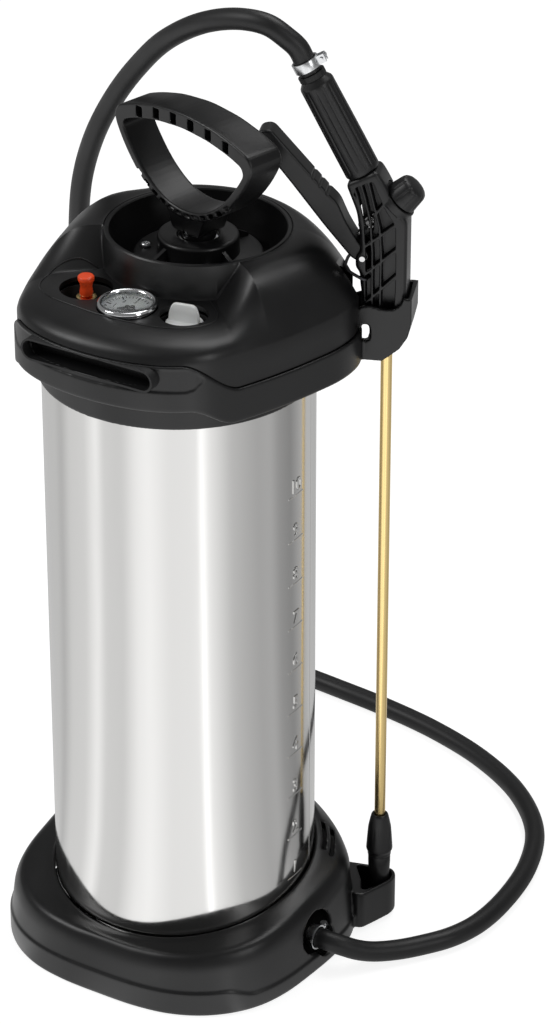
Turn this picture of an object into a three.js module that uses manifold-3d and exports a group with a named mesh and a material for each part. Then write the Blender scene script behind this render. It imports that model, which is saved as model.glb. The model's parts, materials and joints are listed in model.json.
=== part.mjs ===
// Ten litre compression sprayer: stainless tank, moulded foot and head, hand pump,
// pressure gauge, relief valve, hose, and a spray gun with a brass lance.
// Millimetres, +Z up. The origin is on the tank axis, on the floor under the foot.
// The front (gauge and grip slot) faces -Y, the hose outlet and the gun are on +X.

import * as THREE from 'three';
import { mergeVertices } from 'three/addons/utils/BufferGeometryUtils.js';
import Module from 'manifold-3d';

const wasm = await Module();
wasm.setup();

// ---------------------------------------------------------------- driving sizes
const GAP = 0.3;                       // clearance between neighbouring pieces
const TAU = Math.PI * 2;

const TANK = { r: 95, wall: 1.2, bottom: 34, shoulder: 480, neckR: 36, neckBore: 32, top: 524 };
const FOOT = { band: 19, bandStep: 1.8, wall: 3.5, shoulder: 45, rimR: 97.6, rib: 4, hubR: 20 };
const HEAD = { wall: 3, console: 528, rim: 553, rimR: 64.5, floor: 516.2, floorHole: 43 };
const SKIRT = { frontLow: 480, sideLow: 465, frontTop: 514, sideTop: 490, collarLow: 458 };
const PUMP = { x: 0, y: 26, barrelR: 25, barrelBore: 22, barrelLow: 176, valveSeat: 190, rodR: 6 };
const PORT_RING = { r: 88, spread: 26.6 };          // gauge, relief valve and air plug
const LANCE = { x: 119, y: 79.5, turn: 22, r: 4, bore: 3, low: 46, high: 512 };
const GRIP = { lean: 27.6, axisZ: 566, from: 38.3, to: 112, r: 12.3, bore: 7 };
const VALVE = { lean: 45, u: 8.5, z: 582 };         // outer end of the gun's valve bore
const TRIGGER_PIN = { u: -16, z: 540 };
const HOSE = { d: 15, outletX: 106, outletZ: 22 };
const HANDLE = { turn: -14, depth: 29, low: 562.5, high: 640.5, half: 68 };

// Half outlines in plan, from the front middle to the back middle, mirrored in X.
const FOOT_HALF = [[0, -118.5], [32, -117.5], [58, -112.5], [80, -102], [98, -86], [109, -69],
  [116, -48], [120, -17], [121.5, 15], [119, 40], [110, 60], [96, 76], [78, 91], [56, 104],
  [28, 112.5], [0, 115]];
const HEAD_HALF = [[0, -114], [35, -110], [62, -99], [78, -84], [90, -60], [101, -32],
  [110, -2], [116, 28], [114, 52], [103, 72], [86, 90], [60, 105], [30, 113], [0, 116]];

// Hose centreline from the tank outlet, round on the floor, up behind and over to the gun.
const HOSE_ROUTE = [[106, 0, 22], [116, 0, 22], [126, 0, 21.8], [134, 3.4, 19.3], [142, 10, 14.8],
  [150, 18.6, 11.2],
  [162, 33, 8.6], [175, 50, 7.9], [187, 69, 7.8], [195, 93, 7.8], [197, 130, 7.8], [190, 180, 7.8],
  [171, 226, 7.8], [135, 265, 7.8], [88, 293, 7.8], [35, 311, 7.8], [-20, 321, 7.8], [-70, 326, 7.8],
  [-115, 326, 11], [-155, 317, 25], [-184, 301, 52], [-202, 276, 97], [-209, 248, 152],
  [-208, 219, 218], [-202, 191, 288], [-191, 163, 358], [-178, 139, 420], [-164, 119, 478],
  [-149, 104, 525], [-129, 92, 567], [-106, 83, 603], [-80, 74, 635], [-48, 62.5, 666],
  [-10, 53, 690], [22, 48.5, 700.5], [42, 49.6, 700], [54, 53, 692.5], [61, 56, 685.6], [65, 57.7, 677.4],
  [69, 59.3, 669.1]];

// ---------------------------------------------------------------- solid helpers
function solid(geometry) {
  let g = geometry.clone();
  g.deleteAttribute('normal');
  g.deleteAttribute('uv');
  g = mergeVertices(g, 1e-3);
  const p = g.attributes.position.array;
  const tris = [];
  let volume = 0;
  for (let i = 0; i < g.index.count; i += 3) {
    const [a, b, c] = [g.index.getX(i), g.index.getX(i + 1), g.index.getX(i + 2)];
    if (a === b || b === c || c === a) continue;
    tris.push(a, b, c);
    const [A, B, C] = [a, b, c].map((k) => new THREE.Vector3().fromArray(p, 3 * k));
    volume += A.dot(B.cross(C));
  }
  if (volume < 0) for (let i = 0; i < tris.length; i += 3) [tris[i], tris[i + 1]] = [tris[i + 1], tris[i]];
  return new wasm.Manifold(new wasm.Mesh({
    numProp: 3, vertProperties: new Float32Array(p), triVerts: new Uint32Array(tris),
  }));
}

function geometryOf(manifold) {
  const mesh = manifold.getMesh();
  const g = new THREE.BufferGeometry();
  g.setAttribute('position', new THREE.BufferAttribute(new Float32Array(mesh.vertProperties), 3));
  g.setIndex(new THREE.BufferAttribute(new Uint32Array(mesh.triVerts), 1));
  g.computeVertexNormals();
  return g;
}

const union = (...list) => list.reduce((a, b) => a.add(b));
const cut = (body, ...tools) => tools.reduce((a, b) => a.subtract(b), body);

// Solid of revolution about Z. A ring profile closes on itself.
function turned(profile, segments = 24, ring = false) {
  const pts = profile.map(([r, z]) => new THREE.Vector2(r, z));
  if (ring) pts.push(pts[0].clone());
  return solid(new THREE.LatheGeometry(pts, segments).rotateX(Math.PI / 2));
}

const disc = (r, z0, z1, segments = 24) => turned([[0, z0], [r, z0], [r, z1], [0, z1]], segments);

const ring = (r0, r1, z0, z1, segments = 24) =>
  turned([[r0, z0], [r1, z0], [r1, z1], [r0, z1]], segments, true);

const box = (x0, x1, y0, y1, z0, z1) => solid(new THREE.BoxGeometry(x1 - x0, y1 - y0, z1 - z0)
  .translate((x0 + x1) / 2, (y0 + y1) / 2, (z0 + z1) / 2));

const hex = (acrossFlats, z0, z1) => disc(acrossFlats / Math.sqrt(3), z0, z1, 6);

// Side profile given as (x, z), extruded along Y from y0 to y1.
function slab(points, y0, y1, holes = []) {
  const shape = new THREE.Shape(points.map(([x, z]) => new THREE.Vector2(x, z)));
  for (const hole of holes) shape.holes.push(new THREE.Path(hole.map(([x, z]) => new THREE.Vector2(x, z))));
  const g = new THREE.ExtrudeGeometry(shape, { depth: y1 - y0, bevelEnabled: false });
  return solid(g.rotateX(Math.PI / 2).translate(0, y1, 0));
}

// Round-section rod along a path of points.
function rod(points, diameter, sides, steps) {
  const curve = new THREE.CatmullRomCurve3(points.map((p) => new THREE.Vector3(...p)), false,
    'centripetal');
  const section = new THREE.Shape();
  for (let i = 0; i < sides; i++) {
    const a = TAU * (i + 0.5) / sides;
    section[i ? 'lineTo' : 'moveTo'](Math.cos(a) * diameter / 2, Math.sin(a) * diameter / 2);
  }
  section.closePath();
  return solid(new THREE.ExtrudeGeometry(section, { steps, extrudePath: curve, bevelEnabled: false }));
}

const shifted = (body, x, y, z) => body.translate([x, y, z]);

// ---------------------------------------------------------------- plan outlines
function outline(half) {
  const pts = [...half, ...half.slice(1, -1).reverse().map(([x, y]) => [-x, y])];
  const curve = new THREE.CatmullRomCurve3(pts.map(([x, y]) => new THREE.Vector3(x, y, 0)), true);
  return curve.getPoints(240);
}

// Distance from (cx, cy) to a closed outline along an angle.
function reach(points, cx, cy, angle) {
  const [dx, dy] = [Math.cos(angle), Math.sin(angle)];
  for (let i = 0; i < points.length; i++) {
    const a = points[i];
    const b = points[(i + 1) % points.length];
    const [ax, ay, ex, ey] = [a.x - cx, a.y - cy, b.x - a.x, b.y - a.y];
    const det = dy * ex - dx * ey;
    if (Math.abs(det) < 1e-12) continue;
    const along = (ay * ex - ax * ey) / det;
    const t = (dx * ay - dy * ax) / det;
    if (along > 0 && t >= -1e-9 && t <= 1 + 1e-9) return along;
  }
  return 0;
}

const circle = (r) => Array.from({ length: 240 }, (_, i) =>
  new THREE.Vector3(r * Math.cos(TAU * i / 240), r * Math.sin(TAU * i / 240), 0));

const smooth = (a, b, x) => {
  const t = Math.min(1, Math.max(0, (x - a) / (b - a)));
  return t * t * (3 - 2 * t);
};

const mix = (a, b, t) => a + (b - a) * t;

// Closed shell whose section, a closed loop of (r, z), changes with the angle round (cx, cy).
function lofted(cx, cy, sections, loop) {
  const rows = [];
  for (let i = 0; i < sections; i++) {
    const angle = TAU * i / sections;
    rows.push(loop(angle).map(([r, z]) => [cx + r * Math.cos(angle), cy + r * Math.sin(angle), z]));
  }
  const n = rows[0].length;
  const index = [];
  for (let i = 0; i < sections; i++) {
    for (let j = 0; j < n; j++) {
      const [a, b] = [i * n + j, i * n + (j + 1) % n];
      const [c, d] = [((i + 1) % sections) * n + j, ((i + 1) % sections) * n + (j + 1) % n];
      index.push(a, c, b, b, c, d);
    }
  }
  const g = new THREE.BufferGeometry();
  g.setAttribute('position', new THREE.Float32BufferAttribute(rows.flat(2), 3));
  g.setIndex(index);
  return solid(g);
}

// ---------------------------------------------------------------- materials
const finish = (color, roughness, metalness = 0) => new THREE.MeshStandardMaterial({ color, roughness,
  metalness });
const STEEL = finish('#c9cbcc', 0.32, 1);
const BLACK = finish('#17181a', 0.5);
const BLACK_SOFT = finish('#141415', 0.75);
const RUBBER = finish('#111112', 0.8);
const BRASS = finish('#c9a45a', 0.28, 1);
const ZINC = finish('#d6d8da', 0.3, 1);
const CHROME = finish('#e4e6e8', 0.1, 1);
const RED = finish('#e8442a', 0.4);
const WHITE = finish('#f3f4f2', 0.45);
const GREY = finish('#8c8f92', 0.5);
const CLEAR = finish('#e9f1f2', 0.05);

const sprayer = new THREE.Group();

function part(name, body, material, parent = sprayer) {
  const mesh = new THREE.Mesh(geometryOf(body), material);
  mesh.name = name;
  parent.add(mesh);
  return mesh;
}

// ---------------------------------------------------------------- tank
const polar = (r, degrees) => [r * Math.cos(degrees * Math.PI / 180),
  r * Math.sin(degrees * Math.PI / 180)];
const portAt = (k) => {
  const [x, y] = polar(PORT_RING.r, -90 + k * PORT_RING.spread);
  return [PUMP.x + x, PUMP.y + y];
};
const [GAUGE_AT, RELIEF_AT, PLUG_AT] = [portAt(0), portAt(-1), portAt(1)];
const DOME_HOLE_R = 4.4;
const OUTLET = { x: 50, stubR: 6 };

function tankShell() {
  const { r, wall, bottom, shoulder, neckR, neckBore, top } = TANK;
  const profile = [[0, bottom], [80, bottom + 1.5], [91, bottom + 9], [r, bottom + 20],
    [r, shoulder], [91, 492], [82, 501], [64, 508], [0, 511.5], [0, 510.3], [63.5, 506.8],
    [81, 499.9], [89.9, 491.2], [r - wall, shoulder], [r - wall, bottom + 20.4], [90, bottom + 10],
    [79.5, bottom + 2.8], [0, bottom + wall]];
  const neck = shifted(disc(neckR, 508.5, top, 32), PUMP.x, PUMP.y, 0);
  const bore = shifted(disc(neckBore, 480, top + 10, 32), PUMP.x, PUMP.y, 0);
  const holes = [GAUGE_AT, RELIEF_AT, PLUG_AT].map(([x, y]) => shifted(disc(DOME_HOLE_R, 495, 520, 12),
    x, y, 0));
  const outlet = shifted(disc(OUTLET.stubR + GAP, 30, 40, 16), OUTLET.x, 0, 0);
  return cut(union(turned(profile, 40), neck), bore, ...holes, outlet);
}
part('tank_shell', tankShell(), STEEL);

// Outlet elbow under the tank: stub through the bottom, nut inside, seal between.
function outletElbow() {
  const stub = disc(OUTLET.stubR, HOSE.outletZ, 48, 16);
  const flange = disc(10, 26, 32.4, 16);
  const pipe = disc(5.2, 0, HOSE.outletX - GAP - OUTLET.x, 16).rotate([0, 90, 0]);
  return union(shifted(stub, OUTLET.x, 0, 0), shifted(flange, OUTLET.x, 0, 0),
    shifted(pipe, OUTLET.x, 0, HOSE.outletZ));
}
part('outlet_elbow', outletElbow(), BRASS);
part('outlet_seal', shifted(ring(OUTLET.stubR + GAP, 10, 32.7, 34.4, 16), OUTLET.x, 0, 0), RUBBER);
part('outlet_nut', shifted(cut(hex(19, 36.8, 42), disc(OUTLET.stubR + GAP, 30, 50, 16)), OUTLET.x, 0, 0),
  BRASS);

// ---------------------------------------------------------------- foot
const FOOT_OUTLINE = outline(FOOT_HALF);
const rimHeight = (angle) => 44 + 17 * (1 + Math.sin(angle));

function holsterPlan(inset) {
  const outer = [[104, 62], [117, 46], [122, 49], [127, 64], [131, 78], [129.5, 87], [123, 92.5], [86,
    81.5]];
  const inner = [[112, 66], [119, 55], [120.5, 56], [124.2, 65.5], [128.2, 78.4], [127.1, 85.4], [122.4,
    89.4], [98, 82]];
  return (inset ? inner : outer).map(([x, y]) => new THREE.Vector2(x, y));
}

function upright(points, z0, z1) {
  return solid(new THREE.ExtrudeGeometry(new THREE.Shape(points), { depth: z1 - z0, bevelEnabled: false })
    .translate(0, 0, z0));
}

function footShell(angle) {
  const o = reach(FOOT_OUTLINE, 0, 0, angle);
  const t = FOOT.wall;
  const rim = rimHeight(angle);
  const low = FOOT.shoulder + (rim - 44) * 0.7;
  return [[o, 0], [o, FOOT.band], [o - FOOT.bandStep, FOOT.band + 1.5], [o - 4.5, low - 5], [o - 9, low],
    [FOOT.rimR + 1, rim], [FOOT.rimR, rim - 1], [FOOT.rimR, rim - 5], [o - 12, low - t - 1],
    [o - 4.5 - t, low - 8], [o - t - 1, FOOT.band], [o - t, 0]];
}

function ventSlot(r0, r1, from, to) {
  const pts = [];
  for (let i = 0; i <= 6; i++) pts.push(polar(r1, mix(from, to, i / 6)));
  for (let i = 6; i >= 0; i--) pts.push(polar(r0, mix(from, to, i / 6)));
  return upright(pts.map(([x, y]) => new THREE.Vector2(x, y)), 40, 95);
}

function baseFoot() {
  const seat = 33.6;
  let body = lofted(0, 0, 48, footShell);
  for (const angle of [45, 135, 225, 315]) {
    const out = reach(FOOT_OUTLINE, 0, 0, angle * Math.PI / 180) - 3;
    body = body.add(box(0, out, -FOOT.rib / 2, FOOT.rib / 2, 0, 20).rotate([0, 0, angle]));
    body = body.add(box(0, 78, -FOOT.rib / 2, FOOT.rib / 2, 0, seat).rotate([0, 0, angle]));
  }
  body = union(body, disc(FOOT.hubR, 0, seat, 24), ring(64, 78, 29.6, seat, 40));
  body = body.add(upright(holsterPlan(false), 3, 33));
  const arch = (r, y, z) => shifted(disc(r, 96, 135, 20).rotate([0, 90, 0]), 0, y, z);
  return cut(body, arch(17, -6, 31), arch(11.5, 3, 19), upright(holsterPlan(true), 6, 40),
    ventSlot(101, 104, 24, 42), ventSlot(107, 110, 22, 40));
}
part('base_foot', baseFoot(), BLACK);

// ---------------------------------------------------------------- head
const HEAD_OUTLINE = outline(HEAD_HALF);
const TANK_CIRCLE = circle(TANK.r + 0.5);
const headReach = (angle) => reach(HEAD_OUTLINE, PUMP.x, PUMP.y, angle);
// Degrees away from straight ahead.
const fromFront = (angle) => Math.abs(((angle * 180 / Math.PI + 90 + 540) % 360) - 180);
const seamHeight = (angle) => mix(SKIRT.frontTop, SKIRT.sideTop, smooth(28, 46, fromFront(angle)));
const lowHeight = (angle) => mix(SKIRT.frontLow, SKIRT.sideLow, smooth(30, 44, fromFront(angle)));
const consoleShare = (angle) => 1 - smooth(44, 62, fromFront(angle));

function housingLoop(angle) {
  const o = headReach(angle);
  const c = consoleShare(angle);
  const at = (dome, flat) => [mix(dome[0], flat[0], c), mix(dome[1], flat[1], c)];
  const seam = seamHeight(angle) + GAP;
  const t = HEAD.wall;
  return [[o - 2.5, seam], at([o - 5, 517], [o - 3.5, 517.5]), at([o - 13, 533], [o - 9, 521.5]),
    at([o - 26, 544], [Math.min(o - 16, 118), 526]), at([Math.min(o - 34, 84), 549.5], [102, 527.8]),
    at([67, 552.5], [65.5, HEAD.console]), [HEAD.rimR - 0.2, HEAD.rim], [HEAD.rimR - 3.5, HEAD.rim],
    [58, 535], [51, HEAD.floor], [HEAD.floorHole, HEAD.floor], [HEAD.floorHole, HEAD.floor - t],
    [53, HEAD.floor - t], at([63, 546], [62.5, HEAD.console - t]), at([Math.min(o - 38, 80), 545], [100,
    524.5]),
    at([o - 17.5, 531], [o - 13, 518.5]), at([o - 8.5, 514], [o - 7, 514.5]), [o - 5.5, seam]];
}

const GUN_TURN = LANCE.turn;
const gunPlaced = (body) => shifted(body.rotate([0, 0, GUN_TURN]), LANCE.x, LANCE.y, 0);
const SCREW_AT = [[100, 4, 521], [-100, 4, 521], [64, 84, 534.5], [-64, 84, 534.5]];

function headHousing() {
  let body = lofted(PUMP.x, PUMP.y, 48, housingLoop);
  const holes = [[GAUGE_AT, 20.9], [RELIEF_AT, 18.5], [PLUG_AT, 16.5]]
    .map(([[x, y], r]) => shifted(disc(r, 518.8, 535, 24), x, y, 0));
  body = cut(body, ...holes);
  for (const [x, y, top] of SCREW_AT) {
    body = body.add(shifted(disc(4.5, 468.4, top, 10), x, y, 0));
    body = body.subtract(shifted(disc(2.3, 460, 488, 10), x, y, 0));
  }
  return cut(body, gunPlaced(box(-33, 60, -17, 17, 440, 620)));
}
part('head_housing', headHousing(), BLACK);

function skirtLoop(angle) {
  const o = headReach(angle);
  const seam = seamHeight(angle);
  const low = lowHeight(angle);
  const c = reach(TANK_CIRCLE, PUMP.x, PUMP.y, angle);
  const t = HEAD.wall;
  return [[o - 0.8, low], [o, low + 1.5], [o, seam - 1], [o - 1.2, seam], [o - t - 0.2, seam],
    [o - t - 0.2, low + t],
    [c + t, low + t], [c, low + t], [c, SKIRT.collarLow], [c + t, SKIRT.collarLow], [c + t, low]];
}

function gripSlot() {
  const [half, z0, z1] = [50, 499, 511.6];
  const r = (z1 - z0) / 2;
  return union(box(-half + r, half - r, -130, -96, z0, z1),
    ...[-1, 1].map((s) => shifted(disc(r, 0, 34, 16).rotate([90, 0, 0]), s * (half - r), -96, z0 + r)));
}

// Cradle for the gun on the back right corner: floor, outer wall, scooped front edge.
function cradle() {
  const wall = box(-34, 19, -16.5, 16.5, 466, 514);
  const inside = box(-60, 16, -13.3, 13.3, 470, 540);
  const scoop = slab([[-60, 486], [-18, 488], [-4, 500], [12, 511.5], [19.5, 514.5], [19.5, 540], [-60,
    540]], -30, 30);
  const window = box(-19, -9.5, 0, 40, 474, 487);
  return cut(wall, inside, scoop, disc(LANCE.r + 1.6, 440, 490, 12), window);
}

function headSkirt() {
  let body = lofted(PUMP.x, PUMP.y, 48, skirtLoop);
  body = cut(body, gripSlot(), gunPlaced(box(-20, 60, -13.3, 13.3, 470, 560)));
  const tankClear = disc(TANK.r + 0.5, 440, 530, 48);
  body = body.add(gunPlaced(cradle()).subtract(tankClear).subtract(disc(118, 480, 530, 48)));
  const screwWay = union(disc(2.5, 440, 475, 10), disc(4.4, 440, 464.9, 12));
  for (const [x, y] of SCREW_AT) body = body.subtract(shifted(screwWay, x, y, 0));
  return body;
}
part('head_skirt', headSkirt(), BLACK);

SCREW_AT.forEach(([x, y], i) => {
  const screw = union(disc(4, 461.6, 464.6, 12), disc(1.9, 464.6, 486, 8));
  part(`head_screw_${i + 1}`, shifted(screw, x, y, 0), ZINC);
});

// ---------------------------------------------------------------- neck ring and pump
const pump = new THREE.Group();
pump.position.set(PUMP.x, PUMP.y, 0);
sprayer.add(pump);

const screwAngles = [200, 320];
const CAP = { skirtR: 45, plate: [531, 534], hubR: 28.3, hubTop: 548, hubBore: 14.3 };

part('neck_ring', union(ring(36.3, 41, 512.2, 523, 32), ring(36.3, 46.5, 516.5, 518.4, 32)), GREY, pump);
part('neck_seal', ring(32.6, 36, 524.3, 526.2, 32), RUBBER, pump);

function pumpBarrel() {
  const { barrelR, barrelBore, barrelLow, valveSeat } = PUMP;
  const tube = ring(barrelBore, barrelR, barrelLow, 530.6, 32);
  const flange = ring(barrelBore, 40, 526.5, 530.6, 32);
  const seat = ring(4, barrelBore + 1, valveSeat, valveSeat + 3, 32);
  const screwHoles = screwAngles.map((a) => shifted(disc(2, 520, 540, 8), ...polar(37, a), 0));
  return cut(union(tube, flange, seat), ...screwHoles);
}
part('pump_barrel', pumpBarrel(), BLACK_SOFT, pump);
part('check_valve', disc(9.5, 186.8, 189.6, 20), RUBBER, pump);
part('valve_retainer', ring(7, PUMP.barrelBore - GAP, 179, 182, 24), BRASS, pump);

// Screw cap over the barrel flange with the tall hub that the handle drops into.
function pumpCap() {
  const [p0, p1] = CAP.plate;
  const cup = ring(41.4, CAP.skirtR, 518.9, p1, 32);
  const plate = ring(9, 43, p0, p1, 32);
  const hub = ring(CAP.hubBore, CAP.hubR, p1 - 1, CAP.hubTop, 32);
  const ramp = slab([[0, p1 - 0.5], [15, p1 - 0.5], [15, p1 + 2], [0, p1 + 10]], -1.5, 1.5);
  let body = union(cup, plate, hub);
  for (const a of [160, 250, 340, 70]) body = body.add(shifted(ramp, CAP.hubR - 1, 0, 0).rotate([0, 0, a]));
  return cut(body, ...screwAngles.map((a) => shifted(disc(2, 520, 540, 8), ...polar(37, a), 0)));
}
part('pump_cap', pumpCap(), BLACK, pump);
screwAngles.forEach((a, i) => {
  const screw = union(disc(3.6, 534.3, 536.8, 12), disc(1.6, 527.5, 534.3, 8));
  part(`cap_screw_${i + 1}`, shifted(screw, ...polar(37, a), 0), ZINC, pump);
});
part('rod_guide', ring(PUMP.rodR + GAP, CAP.hubBore - GAP, 534.3, 544, 20), WHITE, pump);

// ---------------------------------------------------------------- piston, rod and handle
const PIN_Z = 550;
const pinHole = (r) => disc(r, -20, 20, 8).rotate([-90, 0, 0]).translate([0, 0, PIN_Z]);
part('piston', ring(PUMP.rodR + GAP, PUMP.barrelBore - 0.8, 206, 216, 24), WHITE, pump);
part('piston_seal', ring(PUMP.rodR + GAP, PUMP.barrelBore - GAP, 201.5, 205.7, 24), RUBBER, pump);
part('piston_nut', cut(hex(17, 196, 201.2), disc(PUMP.rodR + GAP, 190, 210, 16)), ZINC, pump);

const handleGroup = new THREE.Group();
handleGroup.position.set(PUMP.x, PUMP.y, 0);
handleGroup.rotation.z = HANDLE.turn * Math.PI / 180;
sprayer.add(handleGroup);
part('piston_rod', cut(disc(PUMP.rodR, 195, 559, 16), pinHole(2.3)), STEEL, handleGroup);
part('handle_pin', disc(2, -11, 11, 8).rotate([-90, 0, 0]).translate([0, 0, PIN_Z]), ZINC, handleGroup);

const HANDLE_OUTER = [[0, 562.5], [18, 565.5], [30, 571], [42, 580], [52, 591], [60, 602], [66, 613],
  [68, 620], [64.5, 627], [50, 632.5], [28, 638], [0, 640.5]];
const HANDLE_INNER = [[0, 568.5], [16, 571], [27, 576.5], [38, 585], [47, 595], [55, 606], [59, 613],
  [57, 618], [45, 622.5], [25, 627], [0, 629]];
const mirrored = (half) => [...half, ...half.slice(1, -1).reverse().map(([x, z]) => [-x, z])];

function handleLoop() {
  const d = HANDLE.depth / 2;
  let body = slab(mirrored(HANDLE_OUTER), -d, d, [mirrored(HANDLE_INNER)]);
  for (const x of [-42.5, -25.5, -8.5, 8.5, 25.5, 42.5]) {
    body = body.subtract(box(x - 2.8, x + 2.8, -d - 1, -d + 9, 600, 633 - Math.abs(x) * 0.18));
  }
  const shank = disc(12.6, 545, 567, 20);
  const neck = slab([[-20, 571], [-13, 551], [13, 551], [20, 571]], -d + 2, d - 2);
  const clear = slab(mirrored(HANDLE_INNER), -d - 1, d + 1);
  return cut(union(body, shank, neck.subtract(clear)), disc(PUMP.rodR + GAP, 540, 559.4, 16), pinHole(2.3));
}
part('handle', handleLoop(), BLACK, handleGroup);

// ---------------------------------------------------------------- gauge, relief valve, air plug
const gauge = new THREE.Group();
gauge.position.set(GAUGE_AT[0], GAUGE_AT[1], 0);
sprayer.add(gauge);
const stem = (r, z0, z1) => disc(r, z0, z1, 12);
part('gauge_stem', cut(union(stem(4, 499, 518.7), stem(6.5, 512, 516)), stem(1.6, 490, 530)), BRASS, gauge);
part('gauge_case', turned([[4.3, 519], [19.6, 519], [19.6, 528.4], [18.4, 528.4], [18.4, 521], [4.3,
  521]], 28, true),
  BLACK_SOFT, gauge);
part('gauge_dial', cut(disc(17.8, 525, 526, 28), stem(1.2, 520, 530)), WHITE, gauge);
part('gauge_needle', union(disc(2, 526.4, 527.4, 12), disc(0.8, 522, 526.6, 8),
  slab([[-5, 526.5], [14, 526.5], [14, 527.2], [-5, 527.2]], -0.7, 0.7).rotate([0, 0, 225])), BLACK_SOFT,
  gauge);
part('gauge_lens', disc(17.6, 528.7, 530, 28), CLEAR, gauge);
part('gauge_bezel', turned([[18, 528.7], [20.5, 528.7], [20.5, 530.6], [19, 532], [17, 531.4], [17, 530.3],
  [18, 530.3]], 28, true), CHROME, gauge);

const relief = new THREE.Group();
relief.position.set(RELIEF_AT[0], RELIEF_AT[1], 0);
sprayer.add(relief);
part('relief_body', turned([[4, 499], [4, 510.5], [7, 511], [7, 522], [2.3, 522], [2.3, 520.6], [5,
  520.6], [5, 512], [2.6, 512], [2.6, 499]], 16, true), BRASS, relief);
part('relief_seal', disc(4.2, 512.3, 513.6, 16), RUBBER, relief);
part('relief_spring', ring(2.4, 4.2, 515.2, 520.3, 16), STEEL, relief);
part('relief_knob', turned([[0, 513.9], [4.2, 513.9], [4.2, 514.9], [1.9, 514.9], [1.9, 523], [4.6, 523],
  [4.6, 526],
  [4.1, 529], [4.6, 532], [5.7, 534], [5.7, 536.6], [4.8, 537.4], [0, 537.4]], 16), RED, relief);

const plug = new THREE.Group();
plug.position.set(PLUG_AT[0], PLUG_AT[1], 0);
sprayer.add(plug);
part('air_port', turned([[4, 499], [4, 511], [9, 511.5], [9, 519], [6, 519], [6, 514], [2.6, 514], [2.6,
  499]], 16, true), BLACK_SOFT, plug);
const wing = slab([[-11.5, 522], [11.5, 522], [8, 536], [-8, 536]], -1.5, 1.5).rotate([0, 0, 12]);
part('air_plug', union(disc(5.6, 514.4, 521, 16), disc(13, 519.4, 523, 24), wing), WHITE, plug);

// ---------------------------------------------------------------- hose and clamps
part('hose', rod(HOSE_ROUTE, HOSE.d, 8, 78), RUBBER);

function clampRing(width) {
  return union(ring(HOSE.d / 2 + 0.5, HOSE.d / 2 + 2, 0, width, 20), box(-3.2, 3.2, 8.9, 14.5, 0.5,
    width - 0.5));
}
part('outlet_clamp', clampRing(6.5).rotate([0, 90, 0]).translate([109, 0, HOSE.outletZ]), ZINC);

// ---------------------------------------------------------------- spray gun
// Gun frame: X runs outward, Z up, the side with the ribs faces -Y.
const gun = new THREE.Group();
gun.position.set(LANCE.x, LANCE.y, 0);
gun.rotation.z = LANCE.turn * Math.PI / 180;
sprayer.add(gun);

const onGrip = (body) => body.rotate([0, -GRIP.lean, 0]).translate([0, 0, GRIP.axisZ]);
const onValve = (body) => body.rotate([0, VALVE.lean, 0]).translate([VALVE.u, 0, VALVE.z]);
const crossPin = (r, half, u, z, sides = 12) => disc(r, -half, half, sides).rotate([-90, 0,
  0]).translate([u, 0, z]);

const GUN_HALF = 12;
const BODY_SIDE = [[-9, 494], [11.5, 494], [14.5, 499], [14.5, 569], [8, 577], [-2, 597], [-7.2, 605.1],
  [-28.2, 594.2], [-20.5, 574], [-18.5, 560], [-18, 545], [-21, 541], [-21, 533], [-18, 529], [-17.5,
  520], [-15, 505]];
const RIB_CELLS = [
  [[-6, 500], [5.5, 500], [5.5, 521], [-6, 510.5]], [[-6, 514], [5.5, 524.5], [5.5, 542], [-6, 531.5]],
  [[-6, 535], [5.5, 545.5], [5.5, 560], [-6, 550]], [[-15.5, 503], [-9, 499], [-9, 520], [-15.5, 517]]];

function gunBody() {
  const boss = onValve(disc(14, -20, -1.2, 24));
  let body = union(slab(BODY_SIDE, -GUN_HALF, GUN_HALF), boss);
  for (const cell of RIB_CELLS) body = body.subtract(slab(cell, -GUN_HALF - 1, -6.5));
  const leverSlot = slab([[-60, 529], [-9.5, 529], [-9.5, 572], [-15, 578], [-60, 578]], -9, 9);
  return cut(body, disc(LANCE.r + GAP, 480, LANCE.high + 0.4, 16), disc(6.3, 480, 500, 16),
    onValve(disc(14.5, -1.1, 20, 24)), onValve(disc(6, -36, 10, 16)), onValve(disc(2.8, -70, -30, 12)),
    leverSlot,
    crossPin(2.3, 20, TRIGGER_PIN.u, TRIGGER_PIN.z), crossPin(1.7, 20, -13, 525, 8),
    onGrip(disc(6.2, 22, 60, 16)));
}
part('gun_body', gunBody(), BLACK, gun);
part('trigger_pin', crossPin(2, 12.4, TRIGGER_PIN.u, TRIGGER_PIN.z), STEEL, gun);

const TRIGGER_SIDE = [[-90, 621], [-88, 627], [-80, 629], [-40, 584], [-34, 578.5], [-28, 564.5], [-21.6,
  553.2], [-13.5, 544.5], [-11.6, 540], [-13.5, 536.3], [-18, 535.6], [-24, 538], [-43, 561], [-66, 591]];
function triggerLever() {
  let body = slab(TRIGGER_SIDE, -8.5, 8.5);
  const hollow = slab([[-80, 618], [-78, 620], [-45, 582], [-38, 570], [-30, 555], [-34, 546], [-48, 562],
    [-70, 590]], -6, 6);
  for (const s of [41, 46, 51]) {
    const [u, z] = [-s, 584 + (s - 40) * 1.125];
    body = body.subtract(slab([[u - 1, z + 3], [u + 1, z + 3], [u + 1, z - 1.2], [u - 1, z - 1.2]], -10,
      10));
  }
  return cut(body, hollow, crossPin(2.3, 20, TRIGGER_PIN.u, TRIGGER_PIN.z));
}
part('trigger', triggerLever(), BLACK, gun);

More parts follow.
